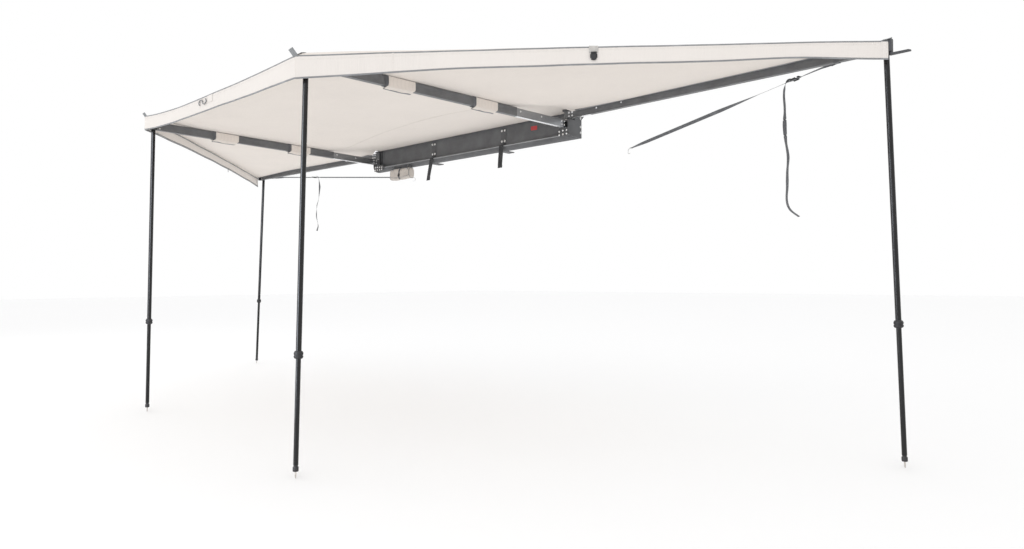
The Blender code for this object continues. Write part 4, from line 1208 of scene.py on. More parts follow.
for name, (which, u0, u1, count, mat) in SPANS.items():
    # the hanging strip of canvas
    grid = valance_grid(which, u0, u1, count, LEVELS)
    strip = sheet_piece(name, grid, 0.0012, mat, None, "canvas")
    us = [u0 + (u1 - u0) * k / count for k in range(count + 1)]
    # grey tape over its top edge
    tape = np.array([[valance_point(which, u, 0.0, z, more)
                      for u in us]
                     for z, more in ((-0.0058, 0.0009), (-0.0032, 0.0011), (-0.0006, 0.0008),
                                     (0.0014, -0.0006), (0.0018, -0.0030), (0.0016, -0.0070))])
    top_tape = sheet_piece(name + "_top_tape", tape, 0.0008, BINDING, None, "canvas")
    # and round its hem
    tall = 2.0 if which == "front" else 1.0
    hem = np.array([[valance_point(which, u, 1.0, z, more)
                     for u in us]
                    for z, more in ((0.0066 * tall, 0.0014), (0.0034 * tall, 0.0015), (0.0002, 0.0013), (-0.0012, 0.0),
                                    (0.0002, -0.0013), (0.0034 * tall, -0.0015), (0.0066 * tall, -0.0014))])
    low_tape = sheet_piece(name + "_hem_tape", hem, 0.0008, BINDING, None, "canvas")
    if which == "front":
        lined = np.array([[valance_point(which, u, 0.0, z, -0.0014) for u in us] for z in (-0.0050, -0.0095, -0.0140)])
        carry(sheet_piece(name + "_inner_tape", lined, 0.0007, BINDING, None, "canvas"), name)
    # stitching: two rows under the top tape, one on each tape
    rows = []
    for s, z, more in ((0.16, 0.0, 0.0008), (0.145, -0.0060, 0.0008), (1.0, 0.0046 * tall, 0.0021), (0.0, -0.0045, 0.0016)):
        pts = [valance_point(which, u, s, z, more) for u in us]
        rows.append((pts, [outs[which]] * len(pts)))
        pts = [valance_point(which, u, s, z, -more) for u in us]
        rows.append((pts, [-outs[which]] * len(pts)))
    sewn = stitches(rows, 0.0055, 0.00042, 0.00035).piece(name + "_stitching", THREAD, None, "canvas")
    for obj in (strip, top_tape, low_tape, sewn):
        carry(obj, name)
    width = length_of([grid[0][k] for k in range(grid.shape[1])])
    deep = max(edge_drop(which, u) for u in us)
    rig.sheet(strip, flat=(width, deep), held="hung", rests_on=[top_tape.name],
             area=min(max(area_of(grid), 0.031 * width), deep * width), with_pieces=[top_tape, low_tape, sewn])

# ----------------------------------------------------------- screws and rivets
def bolts(name, spots, radius, height, mat, body, slot="pin_steel"):
    heap = Heap()
    for at, axis in spots:
        heap.add(*cap_screw(at, axis, radius, height))
    return heap.piece(name, mat, body, slot)


def lock_nut(at, axis, across, height):
    """Six-sided nut with chamfered corners, a nylon ring and the end of its bolt."""
    m = facing(at, axis)
    r = across / 2 / math.cos(math.pi / 6)
    heap = Heap()
    heap.add(*lathe([(across * 0.47, 0.0), (r, height * 0.14), (r, height * 0.70), (across * 0.47, height * 0.84)], 6, m))
    heap.add(*lathe([(across * 0.46, height * 0.72), (across * 0.46, height * 0.90), (across * 0.40, height),
                     (across * 0.31, height), (across * 0.30, height * 0.94)], 24, m))
    heap.add(*lathe([(across * 0.28, height * 0.60), (across * 0.28, height * 1.10), (across * 0.24, height * 1.18)], 20, m))
    return heap.verts, heap.faces


for name, cx in (("rear", 0.429), ("front", -0.379)):
    bolts("clamp_bolts_" + name,
          [((cx + sx * 0.015, -0.0254, 0.018 + sz * 0.041), (0, -1, 0)) for sx in (-1, 1) for sz in (-1, 1)],
          0.0066, 0.0038, STEEL, "case")
for name, cx in (("rear", 0.410), ("front", -0.410)):
    bolts("bracket_bolts_" + name,
          [((cx + sx * 0.015, 0.0063, z), (0, 1, 0)) for sx in (-1, 1) for z in (-0.040, 0.040)],
          0.0074, 0.0044, STEEL, "case")
for hinge, side in (("rear", 1.0), ("front", -1.0)):
    hy = HINGE_Y[hinge]
    face = hy - 0.022
    spots = [(1.138, -0.058), (1.138, -0.084), (1.106, -0.058), (1.106, -0.084), (1.074, -0.062), (1.074, -0.086)]
    if hinge == "front":
        spots += [(1.042, -0.064), (1.042, -0.084)]
    bolts("apron_screws_" + hinge, [((side * bx, face, bz), (0, -1, 0)) for bx, bz in spots],
          0.0051, 0.0030, STEEL, "case")
    bolts("cheek_screws_" + hinge,
          [((side * 1.158, -0.012, bz), (side, 0, 0)) for bz in (0.070, 0.040, -0.020, -0.060)],
          0.0057, 0.0036, STEEL, "case")
    heap = Heap()
    heap.add(*lock_nut((side * HINGE_X, hy, -0.0496), (0, 0, -1), 0.0212, 0.0105))
    heap.add(*lathe([(0.0122, -0.0006), (0.0126, 0.0), (0.0126, 0.0010), (0.0122, 0.0014)], 30,
                    facing((side * HINGE_X, hy, 0.0846), (0, 0, 1))))
    heap.piece("hinge_nut_" + hinge, STEEL, "case", "pin_steel", 30)

for arm in ARMS:
    u = arm_direction(arm)
    v = Vector((-u.y, u.x, 0.0)) * mirror_of(arm)
    mid = mid_of(arm)
    heap = Heap()
    for r, z, size in ((0.034, 0.012, 0.0070), (0.034, -0.012, 0.0070), (0.062, 0.012, 0.0070),
                       (0.062, -0.012, 0.0070), (0.270, 0.006, 0.0064), (0.470, 0.006, 0.0064)):
        for way in (-1.0, 1.0):
            heap.add(*rivet(along(arm, r, way * 0.0126, mid + z), v * way, size, 0.0042))
    heap.piece("knuckle_rivets_" + arm, RIVET, arm, "pin_steel", 40)
    # bright wear strip under the knuckle, which the folded arm slides on
    length = 0.500 if ARMS[arm][1] == "centre" else 0.215
    strip = plate_solid([(0.050, -0.0128), (length, -0.0128), (length, 0.0128), (0.050, 0.0128)],
                        mid - 0.0291, mid - 0.0279, lambda a, b, c, n=arm: along(n, a, b, c), 0.0004)
    piece("knuckle_strip_" + arm, *strip, BRIGHT, arm, "knuckle_aluminium", 20)
    # small screws, two on each side, that fix the arm tube to its tip
    end = 1.990 if ARMS[arm][1] == "centre" else 2.012
    heap = Heap()
    for way in (-1.0, 1.0):
        for z in (-0.016, 0.016):
            heap.add(*cap_screw(along(arm, end - 0.018, way * 0.0150, mid + z), v * way, 0.0036, 0.0020))
    heap.piece("tip_screws_" + arm, STEEL, arm, "pin_steel", 40)

# ------------------------------------------------------ on the face of the case
plate = rounded_loop(0.060, 0.030, 0.0045, 5)
obj = piece("plain_plate", *plate_solid([(0.738 + a, 0.0335 + b) for a, b in plate], 0.0221, 0.0240,
                                        lambda a, b, c: (a, -c, b), 0.0007), PLATE_RED, "case", "case_black", 25)
# thin lighter grey strip along the lip, a painted highlight on its top edge
heap = Heap()
bead = [(-0.0470, -0.0612), (-0.0487, -0.0618), (-0.0494, -0.0640), (-0.0494, -0.0668), (-0.0486, -0.0688),
        (-0.0470, -0.0692)]
for x0, x1 in ((-1.148, 1.148),):
    k = len(bead)
    verts = [(x, y, z) for x in (x0, x1) for y, z in bead]
    faces = [(j, (j + 1) % k, k + (j + 1) % k, k + j) for j in range(k)]
    faces += [tuple(range(k))[::-1], tuple(k + j for j in range(k))]
    heap.add(verts, faces)
heap.piece("lip_bead", LIP_HIGHLIGHT_COAT, "case", "case_black", 30)

# keder: the cord sewn into the canvas's inner edge, and the strip that leads to it
run = np.linspace(-1.118, 1.118, 60)
bead = tube([(x, -0.0282, 0.0940) for x in run], 0.0021, 10)
piece("keder_cord", *bead, CANVAS_TAN, "case", "canvas")
grid = np.array([[(x, y, z + 0.0004 * math.sin(x * 40)) for x in run]
                 for y, z in ((-0.0290, 0.0940), (-0.0320, 0.0940), (-0.0350, 0.0940), (-0.0385, 0.0941))])
keder = sheet_piece("keder_strip", grid, 0.0012, CANVAS_TAN, "case", "canvas")
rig.sheet(keder, flat=(2.236, 0.0105), held="stretched", rests_on=["canopy_rail"])

# ---------------------------------------------------------------- closure straps
for side, cx, drop, lean in (("rear", 0.429, 0.230, 0.014), ("front", -0.379, 0.244, 0.044)):
    route = [(-0.0240, -0.0400), (-0.0243, -0.0478), (-0.0305, -0.0506), (-0.0430, -0.0534),
             (-0.0500, -0.0590), (-0.0508, -0.0700), (-0.0510, -0.1200), (-0.0512, -0.1800), (-0.0512, -drop)]
    path = smooth_route([Vector((0.0, y, z)) for y, z in route], 110)
    grid = []
    for p in path:
        s = min(1.0, max(0.0, (-p.z - 0.09) / 0.14))
        middle = cx - lean * max(0.0, -p.z - 0.070) / (drop - 0.070)
        row = []
        for k in range(11):
            a = -1.0 + k / 5
            turn = 0.10 * s * math.sin(-p.z * 11.0 + (1.0 if side == "rear" else 2.6))
            y = p.y + 0.0016 * s * math.sin(-p.z * 26.0) - 0.0010 * s * (1 - a * a) + 0.0225 * a * math.sin(turn)
            row.append((middle + 0.0225 * a * math.cos(turn), y, p.z))
        grid.append(row)
    grid = np.array(grid)
    strap = sheet_piece("closure_webbing_" + side, grid, 0.0018, STRAP_BLACK, "case", "strap_black")
    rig.replaces(strap, "closure_strap_" + side)
    # its end is folded back on itself and sewn
    back = grid[-12:] + np.array((0.0, 0.0021, 0.0))
    fold = sheet_piece("closure_fold_" + side, back, 0.0016, STRAP_BLACK, "case", "strap_black")
    lines = []
    for k0, k1 in ((1, 1), (9, 9), (1, 9), (9, 1)):
        a, b = grid[-11, k0], grid[-2, k1]
        pts = [a + (b - a) * i / 12 + np.array((0.0, -0.0012, 0.0)) for i in range(13)]
        lines.append((pts, [(0, -1, 0)] * 13))
    for i in (-11, -2):
        lines.append(([grid[i, k] + np.array((0.0, -0.0012, 0.0)) for k in range(1, 10)], [(0, -1, 0)] * 9))
    sewn = stitches(lines, 0.0034, 0.00045, 0.00040).piece("closure_stitching_" + side, THREAD_GREY, "case", "strap_black")
    length = length_of(path)
    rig.sheet(strap, flat=(0.045, length), held="hung", rests_on=["clamp_plate_" + side],
             with_pieces=[fold, sewn])

# ---------------------------------------------------------------- arm sleeves
HALF = [(0.0166, 0.0262), (0.0169, 0.0160), (0.0170, 0.0000), (0.0169, -0.0160), (0.0165, -0.0265),
        (0.0150, -0.0322), (0.0102, -0.0366), (0.0044, -0.0412), (0.0014, -0.0450)]
WRAP = HALF + [(-a, b) for a, b in HALF[::-1]]


def sleeve_point(arm, r0, i, k, rows, more=0.0):
    """i from the hinge end of the sleeve to its tip end, k round the arm."""
    a, b = WRAP[k]
    low = min(1.0, max(0.0, (-b - 0.018) / 0.026))
    s = i / (rows - 1)
    near = r0 + 0.014 * low ** 2
    far = r0 + 0.180 + 0.024 * low ** 1.4
    r = near + (far - near) * s
    t = a + (0.0007 * math.sin(r * 70.0 + b * 60.0) + 0.0006 * math.sin(r * 31.0)) * (1 if a > 0 else -1) * low
    z = b + low * (0.0006 * math.sin(s * 7.0 + r0) - 0.0008 * math.sin(math.pi * s)
                   + 0.0130 * max(0.0, 1.0 - s / 0.09) ** 2)
    return along(arm, r, t + more * (1 if a > 0 else -1), mid_of(arm) + z)


for arm in ("centre_rear", "centre_front"):
    hinge = ARMS[arm][0]
    u = arm_direction(arm)
    v = Vector((-u.y, u.x, 0.0)) * mirror_of(arm)
    for order, r0 in (("inner", 0.686), ("outer", 1.326)):
        rows = 26
        r0 += 0.056 if hinge == "front" else -0.008
        name = "%s_%s" % (order, hinge)
        grid = np.array([[sleeve_point(arm, r0, i, k, rows) for k in range(len(WRAP))] for i in range(rows)])
        # rounder corners: read the section off a smooth curve through its points
        fine = []
        for i in range(rows):
            fine.append([tuple(p) for p in smooth_route([Vector(p) for p in grid[i]], 56)])
        fine = np.array(fine)
        sleeve = sheet_piece("arm_wrap_" + name, fine, 0.0011, CANVAS_TAN, arm, "canvas")
        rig.replaces(sleeve, "arm_sleeve_" + name)
        # grey tape round the hanging seam
        tape = []
        for i in range(rows):
            low = Vector(fine[i][27]).lerp(Vector(fine[i][28]), 0.5)
            tape.append([low + v * a + Vector((0, 0, b)) for a, b in
                         ((0.0050, 0.0062), (0.0033, 0.0022), (0.0020, -0.0014), (0.0, -0.0024),
                          (-0.0020, -0.0014), (-0.0033, 0.0022), (-0.0050, 0.0062))])
        bound = sheet_piece("arm_wrap_tape_" + name, np.array(tape), 0.0008, BINDING, arm, "canvas")
        hems = []
        for i in (1, rows - 2):
            for way in (1, -1):
                ks = range(3, 25) if way == 1 else range(31, 53)
                pts = [fine[i][k] + np.array(v) * way * 0.0008 for k in ks]
                hems.append((pts, [tuple(v * way)] * len(pts)))
        for k, way in ((24, 1), (31, -1)):
            pts = [fine[i][k] + np.array(v) * way * 0.0008 for i in range(rows)]
            hems.append((pts, [tuple(v * way)] * len(pts)))
        sewn = stitches(hems, 0.0046, 0.00040, 0.00035).piece("arm_wrap_stitching_" + name, THREAD, arm, "canvas")
        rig.sheet(sleeve, flat=(0.150, 0.192), held="folded", rests_on=["arm_centre_" + hinge],
                 with_pieces=[bound, sewn])
        # webbing band beside the sleeve, which keeps it from sliding
        centre = along(arm, r0 + 0.180 + 0.014, 0.0, mid_of(arm))
        loop = rounded_loop(ARM_W + 0.0030, ARM_H + 0.0030, 0.0040, 5)
        verts, faces = [], []
        for a, b in loop:
            n = (v * a + Vector((0, 0, b))).normalized()
            p = centre + v * a + Vector((0, 0, b))
            for du, dn in ((-0.012, 0.0), (0.012, 0.0), (0.012, 0.0013), (-0.012, 0.0013)):
                verts.append(p + u * du + n * dn)
        k = len(loop)
        for i in range(k):
            m = (i + 1) % k
            for j in range(4):
                q = (j + 1) % 4
                faces.append((i * 4 + j, i * 4 + q, m * 4 + q, m * 4 + j))
        piece("arm_band_" + name, verts, faces, STRAP_GREY, arm, "strap_grey", 50)

# ----------------------------------------------------------------- stow pouch
PX0, PX1, PY, PZ = -0.930, -0.640, -0.044, -0.1535


def pouch_point(s, a, more=0.0):
    """s along the bag, a round it from the top, over the front (-Y side)."""
    x = PX0 + (PX1 - PX0) * s
    close = min(1.0, min(s, 1.0 - s) / 0.085)
    swell = 0.74 + 0.26 * math.sin(close * math.pi / 2)
    ca, sa = math.cos(a), math.sin(a)
    power = 2.0 / 3.4
    y = -math.copysign(abs(sa) ** power, sa)
    z = math.copysign(abs(ca) ** power, ca)
    belly = 1.0 + 0.10 * (0.5 - 0.5 * z) - 0.06 * (0.5 + 0.5 * z)
    fold = (0.0016 * math.sin(17 * s + 3.0 * a) + 0.0011 * math.sin(41 * s - 2.0 * a + 1.3)
            + 0.0018 * math.sin(2.2 * math.pi * s) * math.sin(a * 2.0 + 0.6))
    half_y = 0.0262 * swell * belly + fold + more
    half_z = 0.0460 * swell + fold * 0.6 + more
    droop = -0.0032 * math.sin(math.pi * s) * (0.5 - 0.5 * z)
    return (x, PY + y * half_y, PZ + 0.0015 + z * half_z + droop)


SN, AN = 58, 72
verts = [pouch_point(0.002 + 0.996 * i / (SN - 1), 2 * math.pi * j / AN) for i in range(SN) for j in range(AN)]
faces = []
for i in range(SN - 1):
    for j in range(AN):
        m = (j + 1) % AN
        faces.append((i * AN + j, i * AN + m, (i + 1) * AN + m, (i + 1) * AN + j))
for end, base in ((0, 0), (1, (SN - 1) * AN)):
    previous = [base + j for j in range(AN)]
    for step, (keep, sink) in enumerate(((0.80, 0.0016), (0.45, 0.0010), (0.12, 0.0014))):
        start = len(verts)
        for j in range(AN):
            x, y, z = verts[base + j]
            verts.append((x + (sink if end == 0 else -sink), PY + (y - PY) * keep, PZ + (z - PZ) * keep))
        for j in range(AN):
            m = (j + 1) % AN
            quad = (previous[m], previous[j], start + j, start + m)
            faces.append(quad if end == 0 else quad[::-1])
        previous = [start + j for j in range(AN)]
    faces.append(tuple(previous[::-1]) if end == 1 else tuple(previous))
bm_check = bmesh.new()
mesh = bpy.data.meshes.new("scratch")
mesh.from_pydata([tuple(v) for v in verts], [], faces)
bm_check.from_mesh(mesh)
bmesh.ops.recalc_face_normals(bm_check, faces=bm_check.faces)
faces = [tuple(v.index for v in f.verts) for f in bm_check.faces]
bm_check.free()
bpy.data.meshes.remove(mesh)
pouch = piece("stow_bag", verts, faces, CANVAS_BAG, "case", "canvas", 60)
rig.replaces(pouch, "stow_pouch")
heap = Heap()
for s in (0.045, 0.955):
    heap.add(*tube([pouch_point(s, 2 * math.pi * j / 90, 0.0008) for j in range(90)], 0.0017, 8, True))
piping = heap.piece("stow_bag_piping", BINDING, "case", "canvas")
# flap from the back over the top and down the front
fs = np.linspace(0.06, 0.94, 46)
angles = np.linspace(-0.55, 1.86, 40)
flap_grid = []
for a in angles:
    row = []
    for s in fs:
        droop = 0.14 * math.sin(math.pi * (s - 0.06) / 0.88) if a > 1.6 else 0.0
        low = a + droop * (a - 1.6) / 0.26 if a > 1.6 else a
        p = np.array(pouch_point(s, low, 0.0022 + 0.0014 * max(0.0, a - 1.5)))
        row.append(p)
    flap_grid.append(row)
flap_grid = np.array(flap_grid)
flap = sheet_piece("stow_bag_flap", flap_grid, 0.0013, CANVAS_BAG, "case", "canvas")
rim = [flap_grid[-1][k] + np.array((0, -0.0002, 0)) for k in range(46)]
heap = Heap()
heap.add(*tube(rim, 0.0016, 8))
for k in (0, 45):
    heap.add(*tube([flap_grid[i][k] + np.array((0, -0.0002, 0)) for i in range(8, 40)], 0.0014, 8))
flap_tape = heap.piece("stow_bag_flap_binding", BINDING, "case", "canvas")
lines = []
for i in (-3, -4):
    lines.append(([flap_grid[i][k] + np.array((0, -0.0010, 0)) for k in range(46)], [(0, -1, 0)] * 46))
bag_sewn = stitches(lines, 0.0046, 0.00045, 0.0004).piece("stow_bag_stitching", THREAD, "case", "canvas")
# strap down the middle of the flap with a small side-release buckle
strap_path = [Vector(pouch_point(0.5, a, 0.0046)) for a in np.linspace(-0.2, 2.55, 50)]
bag_strap = piece("stow_bag_strap", *ribbon(strap_path, (1.0, 0.0, 0.0), 0.018, 0.0014), STRAP_GREY, "case", "strap_grey")
at = Vector(pouch_point(0.5, 1.62, 0.0074))
heap = Heap()
for x0, x1, z0, z1, y0, y1 in ((-0.0118, 0.0118, -0.014, 0.006, 0.0, 0.0058), (-0.0088, 0.0088, 0.0062, 0.0150, 0.0008, 0.0048)):
    loop = rounded_loop(x1 - x0, z1 - z0, 0.0026, 4)
    heap.add(*plate_solid([((x0 + x1) / 2 + a, (z0 + z1) / 2 + b) for a, b in loop], y0, y1,
                          lambda a, b, c, o=at: o + Vector((a, -c + 0.003, b)), 0.0009))
bag_buckle = heap.piece("stow_bag_buckle", PLASTIC, "case", "buckle_black", 30)
# two webbing hangers up to the case, each closed with a snap
heap = Heap()
snaps = Heap()
for x in (-0.885, -0.685):
    s = (x - PX0) / (PX1 - PX0)
    p = [Vector((x, PY - 0.022, PZ + 0.028)), Vector((x, PY - 0.026, PZ + 0.044)), Vector((x, PY - 0.020, PZ + 0.058)),
         Vector((x, PY - 0.006, PZ + 0.0725)), Vector((x, PY + 0.006, PZ + 0.0690)), Vector((x, PY + 0.022, PZ + 0.0590)),
         Vector((x, PY + 0.0285, PZ + 0.040)), Vector((x, PY + 0.0260, PZ + 0.020))]
    heap.add(*ribbon(smooth_route(p, 60), (1.0, 0.0, 0.0), 0.020, 0.0014))
    snaps.add(*rivet(Vector((x, PY - 0.0262, PZ + 0.038)), (0, -1, 0.15), 0.0052, 0.0030))
hangers = heap.piece("stow_bag_hangers", STRAP_GREY, "case", "strap_grey")
snap = snaps.piece("stow_bag_snaps", STEEL, "case", "pin_steel", 40)
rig.padded(pouch, fill=0.55)

# ------------------------------------------------------------ feet and collars
for arm in ARMS:
    place = pole_matrix(arm)
    reach, collar = pole_lengths(arm)
    top = reach - 0.062
    foot = piece("foot_cap_" + arm, *lathe(
        [(0.0042, -(top + 0.0300)), (0.0118, -(top + 0.0298)), (0.0130, -(top + 0.0286)), (0.0137, -(top + 0.0262)),
         (0.0139, -(top + 0.0230)), (0.0139, -(top + 0.0109)), (0.0136, -(top + 0.0088)), (0.0128, -(top + 0.0077)),
         (0.0102, -(top + 0.0075)), (0.0100, -(top - 0.0200))],
        40, place), PLASTIC, "foot_" + arm, "end_black", 30)
    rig.replaces(foot, "foot_spike_" + arm)
    piece("foot_point_" + arm, *lathe(
        [(0.0007, -reach), (0.0021, -(reach - 0.0024)), (0.0034, -(reach - 0.0085)), (0.0040, -(reach - 0.0130)),
         (0.0041, -(top + 0.0320)), (0.0046, -(top + 0.0316)), (0.0046, -(top + 0.0296)), (0.0040, -(top + 0.0280))],
        28, place), SPIKE, "foot_" + arm, "pin_steel", 30)
    heap = Heap()
    for z0, z1 in ((collar - 0.0108, collar - 0.0022), (collar + 0.0037, collar + 0.0108)):
        for j in range(22):
            a = 2 * math.pi * j / 22
            c, s = math.cos(a), math.sin(a)
            low = []
            for w, h in ((-0.0011, -0.0006), (-0.0008, 0.0007), (0.0008, 0.0007), (0.0011, -0.0006)):
                low.append((c * (0.0214 + h) - s * w, s * (0.0214 + h) + c * w))
            verts = [place @ Vector((x, y, -z)) for z in (z1, z0) for x, y in low]
            heap.add(verts, [(3, 2, 1, 0), (4, 5, 6, 7)] + [(i, (i + 1) % 4, 4 + (i + 1) % 4, 4 + i) for i in range(4)])
    heap.piece("collar_grip_" + arm, PLASTIC, "lock_" + arm, "end_black", 30)
    # plain sight ring where the lower tube enters the collar
    heap = Heap()
    heap.add(*ring_lathe([(0.0121, -(collar + 0.0184)), (0.0150, -(collar + 0.0180)), (0.0164, -(collar + 0.0169)),
                          (0.0164, -(collar + 0.0161)), (0.0142, -(collar + 0.0160))], 32, place))
    heap.piece("collar_seal_" + arm, PLASTIC, "lock_" + arm, "end_black", 30)

# ---------------------------------------------------- tabs, buckle and hooks
def tab(name, start, direction, across, length, width, mat, body, slot="strap_grey"):
    """A short folded tab of webbing that stands out from a corner."""
    d, s = Vector(direction).normalized(), Vector(across).normalized()
    n = d.cross(s).normalized()
    start = Vector(start)
    points = []
    for i in range(9):
        x = length * i / 8
        points.append(start + d * x + n * (0.0011 + 0.0020 * math.sin(x / length * 2.6)))
    for i in range(1, 6):
        a = math.pi * i / 6
        points.append(start + d * (length + 0.0016 * math.sin(a)) + n * (0.0011 * math.cos(a) + 0.0020 * math.sin(2.6)))
    for i in range(8, -1, -1):
        x = length * i / 8
        points.append(start + d * x - n * (0.0011 - 0.0020 * math.sin(x / length * 2.6)))
    made = piece(name, *ribbon(points, s, width, 0.0013), mat, body, slot)
    return made


corner_b = Vector(edges["centre"][0])
corner_c = Vector(edges["centre"][-1])
corner_r = Vector(edges["rear"][-1])
corner_d = Vector(edges["front"][-1])
tab("corner_tab_centre_rear", corner_b + Vector((0.0, 0.002, -0.002)), (-0.43, -0.386, 0.815), (0.608, 0.543, 0.58), 0.044,
    0.025, STRAP_TAB, "centre_rear")
tab("corner_tab_centre_front", corner_c + Vector((0.0, 0.004, 0.0)), (-0.25, -0.55, 0.85), (0.85, 0.2, 0.3), 0.024, 0.022,
    STRAP_TAB, "centre_front")
tab("corner_tab_wing_rear", corner_r - VIEW_RIGHT * 0.027 + Vector((0.0, 0.0, 0.003)),
    VIEW_RIGHT * 0.953 + Vector((0.0, 0.0, 0.30)), VIEW_NEAR, 0.044, 0.014, STRAP_TAB, "wing_rear")
tab("corner_tab_wing_front", corner_d + Vector((0.006, -0.004, 0.001)), (-0.30, -0.20, 0.90), (0.7, 0.7, 0.0), 0.022, 0.020,
    STRAP_TAB, "wing_front")


def on_valance(which, u, down, off):
    """Point in front of a valance: u along it, down from its top edge, off its face."""
    return valance_point(which, u, 0.0, -down, off)


# rear edge: a light webbing tab and the socket half of a buckle
run = (Vector(edges["rear"][-1]) - Vector(edges["rear"][0])).normalized()
out = outs["rear"]
u_mid = 0.5
web = []
for i in range(40):
    down = -0.004 + 0.034 * i / 39
    web.append(on_valance("rear", u_mid, down, 0.0026 + 0.0010 * math.sin(i / 39 * math.pi)))
light_tab = piece("edge_tab_rear", *ribbon(web, run, 0.046, 0.0014), STRAP_LIGHT, None, "canvas")
heap = Heap()
base = on_valance("rear", u_mid, 0.046, 0.0034)


def buckle_place(a, b, c, o=base, x=run, n=out):
    return o + x * a + Vector((0.0, 0.0, b)) + n * c


body_loop = [(-0.0135, 0.020), (0.0135, 0.020), (0.0150, 0.014), (0.0150, -0.006), (0.0120, -0.018), (0.0060, -0.021),
             (-0.0060, -0.021), (-0.0120, -0.018), (-0.0150, -0.006), (-0.0150, 0.014)]
heap.add(*plate_solid(body_loop, 0.0, 0.0075, buckle_place, 0.0014))
for x in (-0.0148, 0.0148):
    heap.add(*plate_solid([(x - 0.0026, -0.010), (x + 0.0026, -0.010), (x + 0.0026, 0.008), (x - 0.0026, 0.008)],
                          0.0014, 0.0062, buckle_place, 0.0008))
for b in (0.0155, 0.0105):
    heap.add(*tube([buckle_place(a, b, 0.0082) for a in (-0.0110, -0.004, 0.004, 0.0110)], 0.0011, 8))
socket = heap.piece("edge_buckle_socket_rear", PLASTIC, None, "buckle_black", 28)
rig.replaces(socket, "edge_buckle_rear")
for obj in (light_tab, socket):
    carry(obj, "wing_rear")

# outer edge: an S hook on a short tab
run = (Vector(edges["centre"][-1]) - Vector(edges["centre"][0])).normalized()
out = outs["centre"]
web = [on_valance("centre", 0.474, 0.006 + 0.040 * i / 19, 0.0026) for i in range(20)]
hook_tab = piece("edge_hook_tab", *ribbon(web, run, 0.070, 0.0014), CANVAS_LOW, None, "canvas")
edge_length = length_of([tuple(p) for p in edges["centre"]])


def hook_at(a, b):
    """Point of the hook's wire: a along the edge towards the front, b up."""
    return on_valance("centre", 0.520 + a / edge_length, 0.032 - b, 0.0078)


curve = []
for i in range(34):
    a = math.radians(-60 + 250 * i / 33)
    curve.append(hook_at(0.0270 * math.cos(a) + 0.0260, 0.0150 * math.sin(a)))
for i in range(1, 34):
    a = math.radians(10 - 250 * i / 33)
    curve.append(hook_at(0.0260 * math.cos(a) - 0.0270, 0.0150 * math.sin(a)))
hook = piece("edge_s_hook", *tube(curve, 0.0032, 10), DARK_STEEL, None, "pin_steel")
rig.replaces(hook, "edge_hook_outer")
for obj in (hook_tab, hook):
    carry(obj, "centre_front")

# inner front edge: a narrow tab that hangs below the hem
u_tab = 0.64
hang = [valance_point("front", u_tab, 0.86, 0.0, 0.0030) + Vector((0, 0, -0.034 * i / 15)) for i in range(16)]
run_front = (Vector(edges["front"][-1]) - Vector(edges["front"][0])).normalized()
carry(piece("edge_tab_front", *ribbon(hang, run_front, 0.015, 0.0013), STRAP_TAB, None, "strap_grey"), "wing_front")

# ------------------------------------------------------------- seams and hems
def band_on_grid(name, centre_of, width, count, lift, mat, thick=0.0006, rows=5):
    """A flat strip that follows the canvas: centre_of(s) gives its middle, side and normal."""
    grid = []
    for j in range(rows):
        w = (j / (rows - 1) - 0.5) * width
        grid.append([centre_of(i / (count - 1), w, lift) for i in range(count)])
    return sheet_piece(name, np.array(grid), thick, mat, None, "canvas")


def seam_point(s, w, lift, x0=-0.985, x1=0.965):
    """Along the felled seam of the centre panel, a little askew to the case."""
    x = x1 + (x0 - x1) * s
    yy = w + float(np.interp(x, (-0.985, -0.636, -0.307, 0.109, 0.458, 0.742, 0.985),
                             (-0.480, -0.532, -0.586, -0.644, -0.681, -0.702, -0.715)))
    u = (1.05 - x) / 2.10
    for _ in range(5):
        rb = (-yy - 0.125 * (1 - u) - 0.045 * u) / 0.99877
        p = centre_point(min(max(u, 0.001), 0.999), rb)
        u += (p.x - x) / 2.14
    p = centre_point(min(max(u, 0.001), 0.999), rb)
    return p + Vector((0.0, 0.0, lift))


for side, lo, hi in (("rear", 0.0, 0.5), ("front", 0.5, 1.0)):
    made = []
    for face, lift in (("under", -0.0010), ("upper", 0.0010)):
        band = band_on_grid("panel_seam_%s_%s" % (face, side),
                            lambda s, w, z, a=lo, b=hi: seam_point(a + (b - a) * s, w, z),
                            0.013, 70, lift, CANVAS_SEAM)
        made.append(band)
    rows = []
    for w in (-0.0045, 0.0045):
        for lift, n in ((-0.0014, (0, 0, -1)), (0.0014, (0, 0, 1))):
            pts = [seam_point(lo + (hi - lo) * i / 69, w, lift) for i in range(70)]
            rows.append((pts, [n] * 70))
    made.append(stitches(rows, 0.0055, 0.00042, 0.00035).piece("panel_seam_stitching_" + side, THREAD, None, "canvas"))
    for obj in made:
        carry(obj, "centre_" + side)

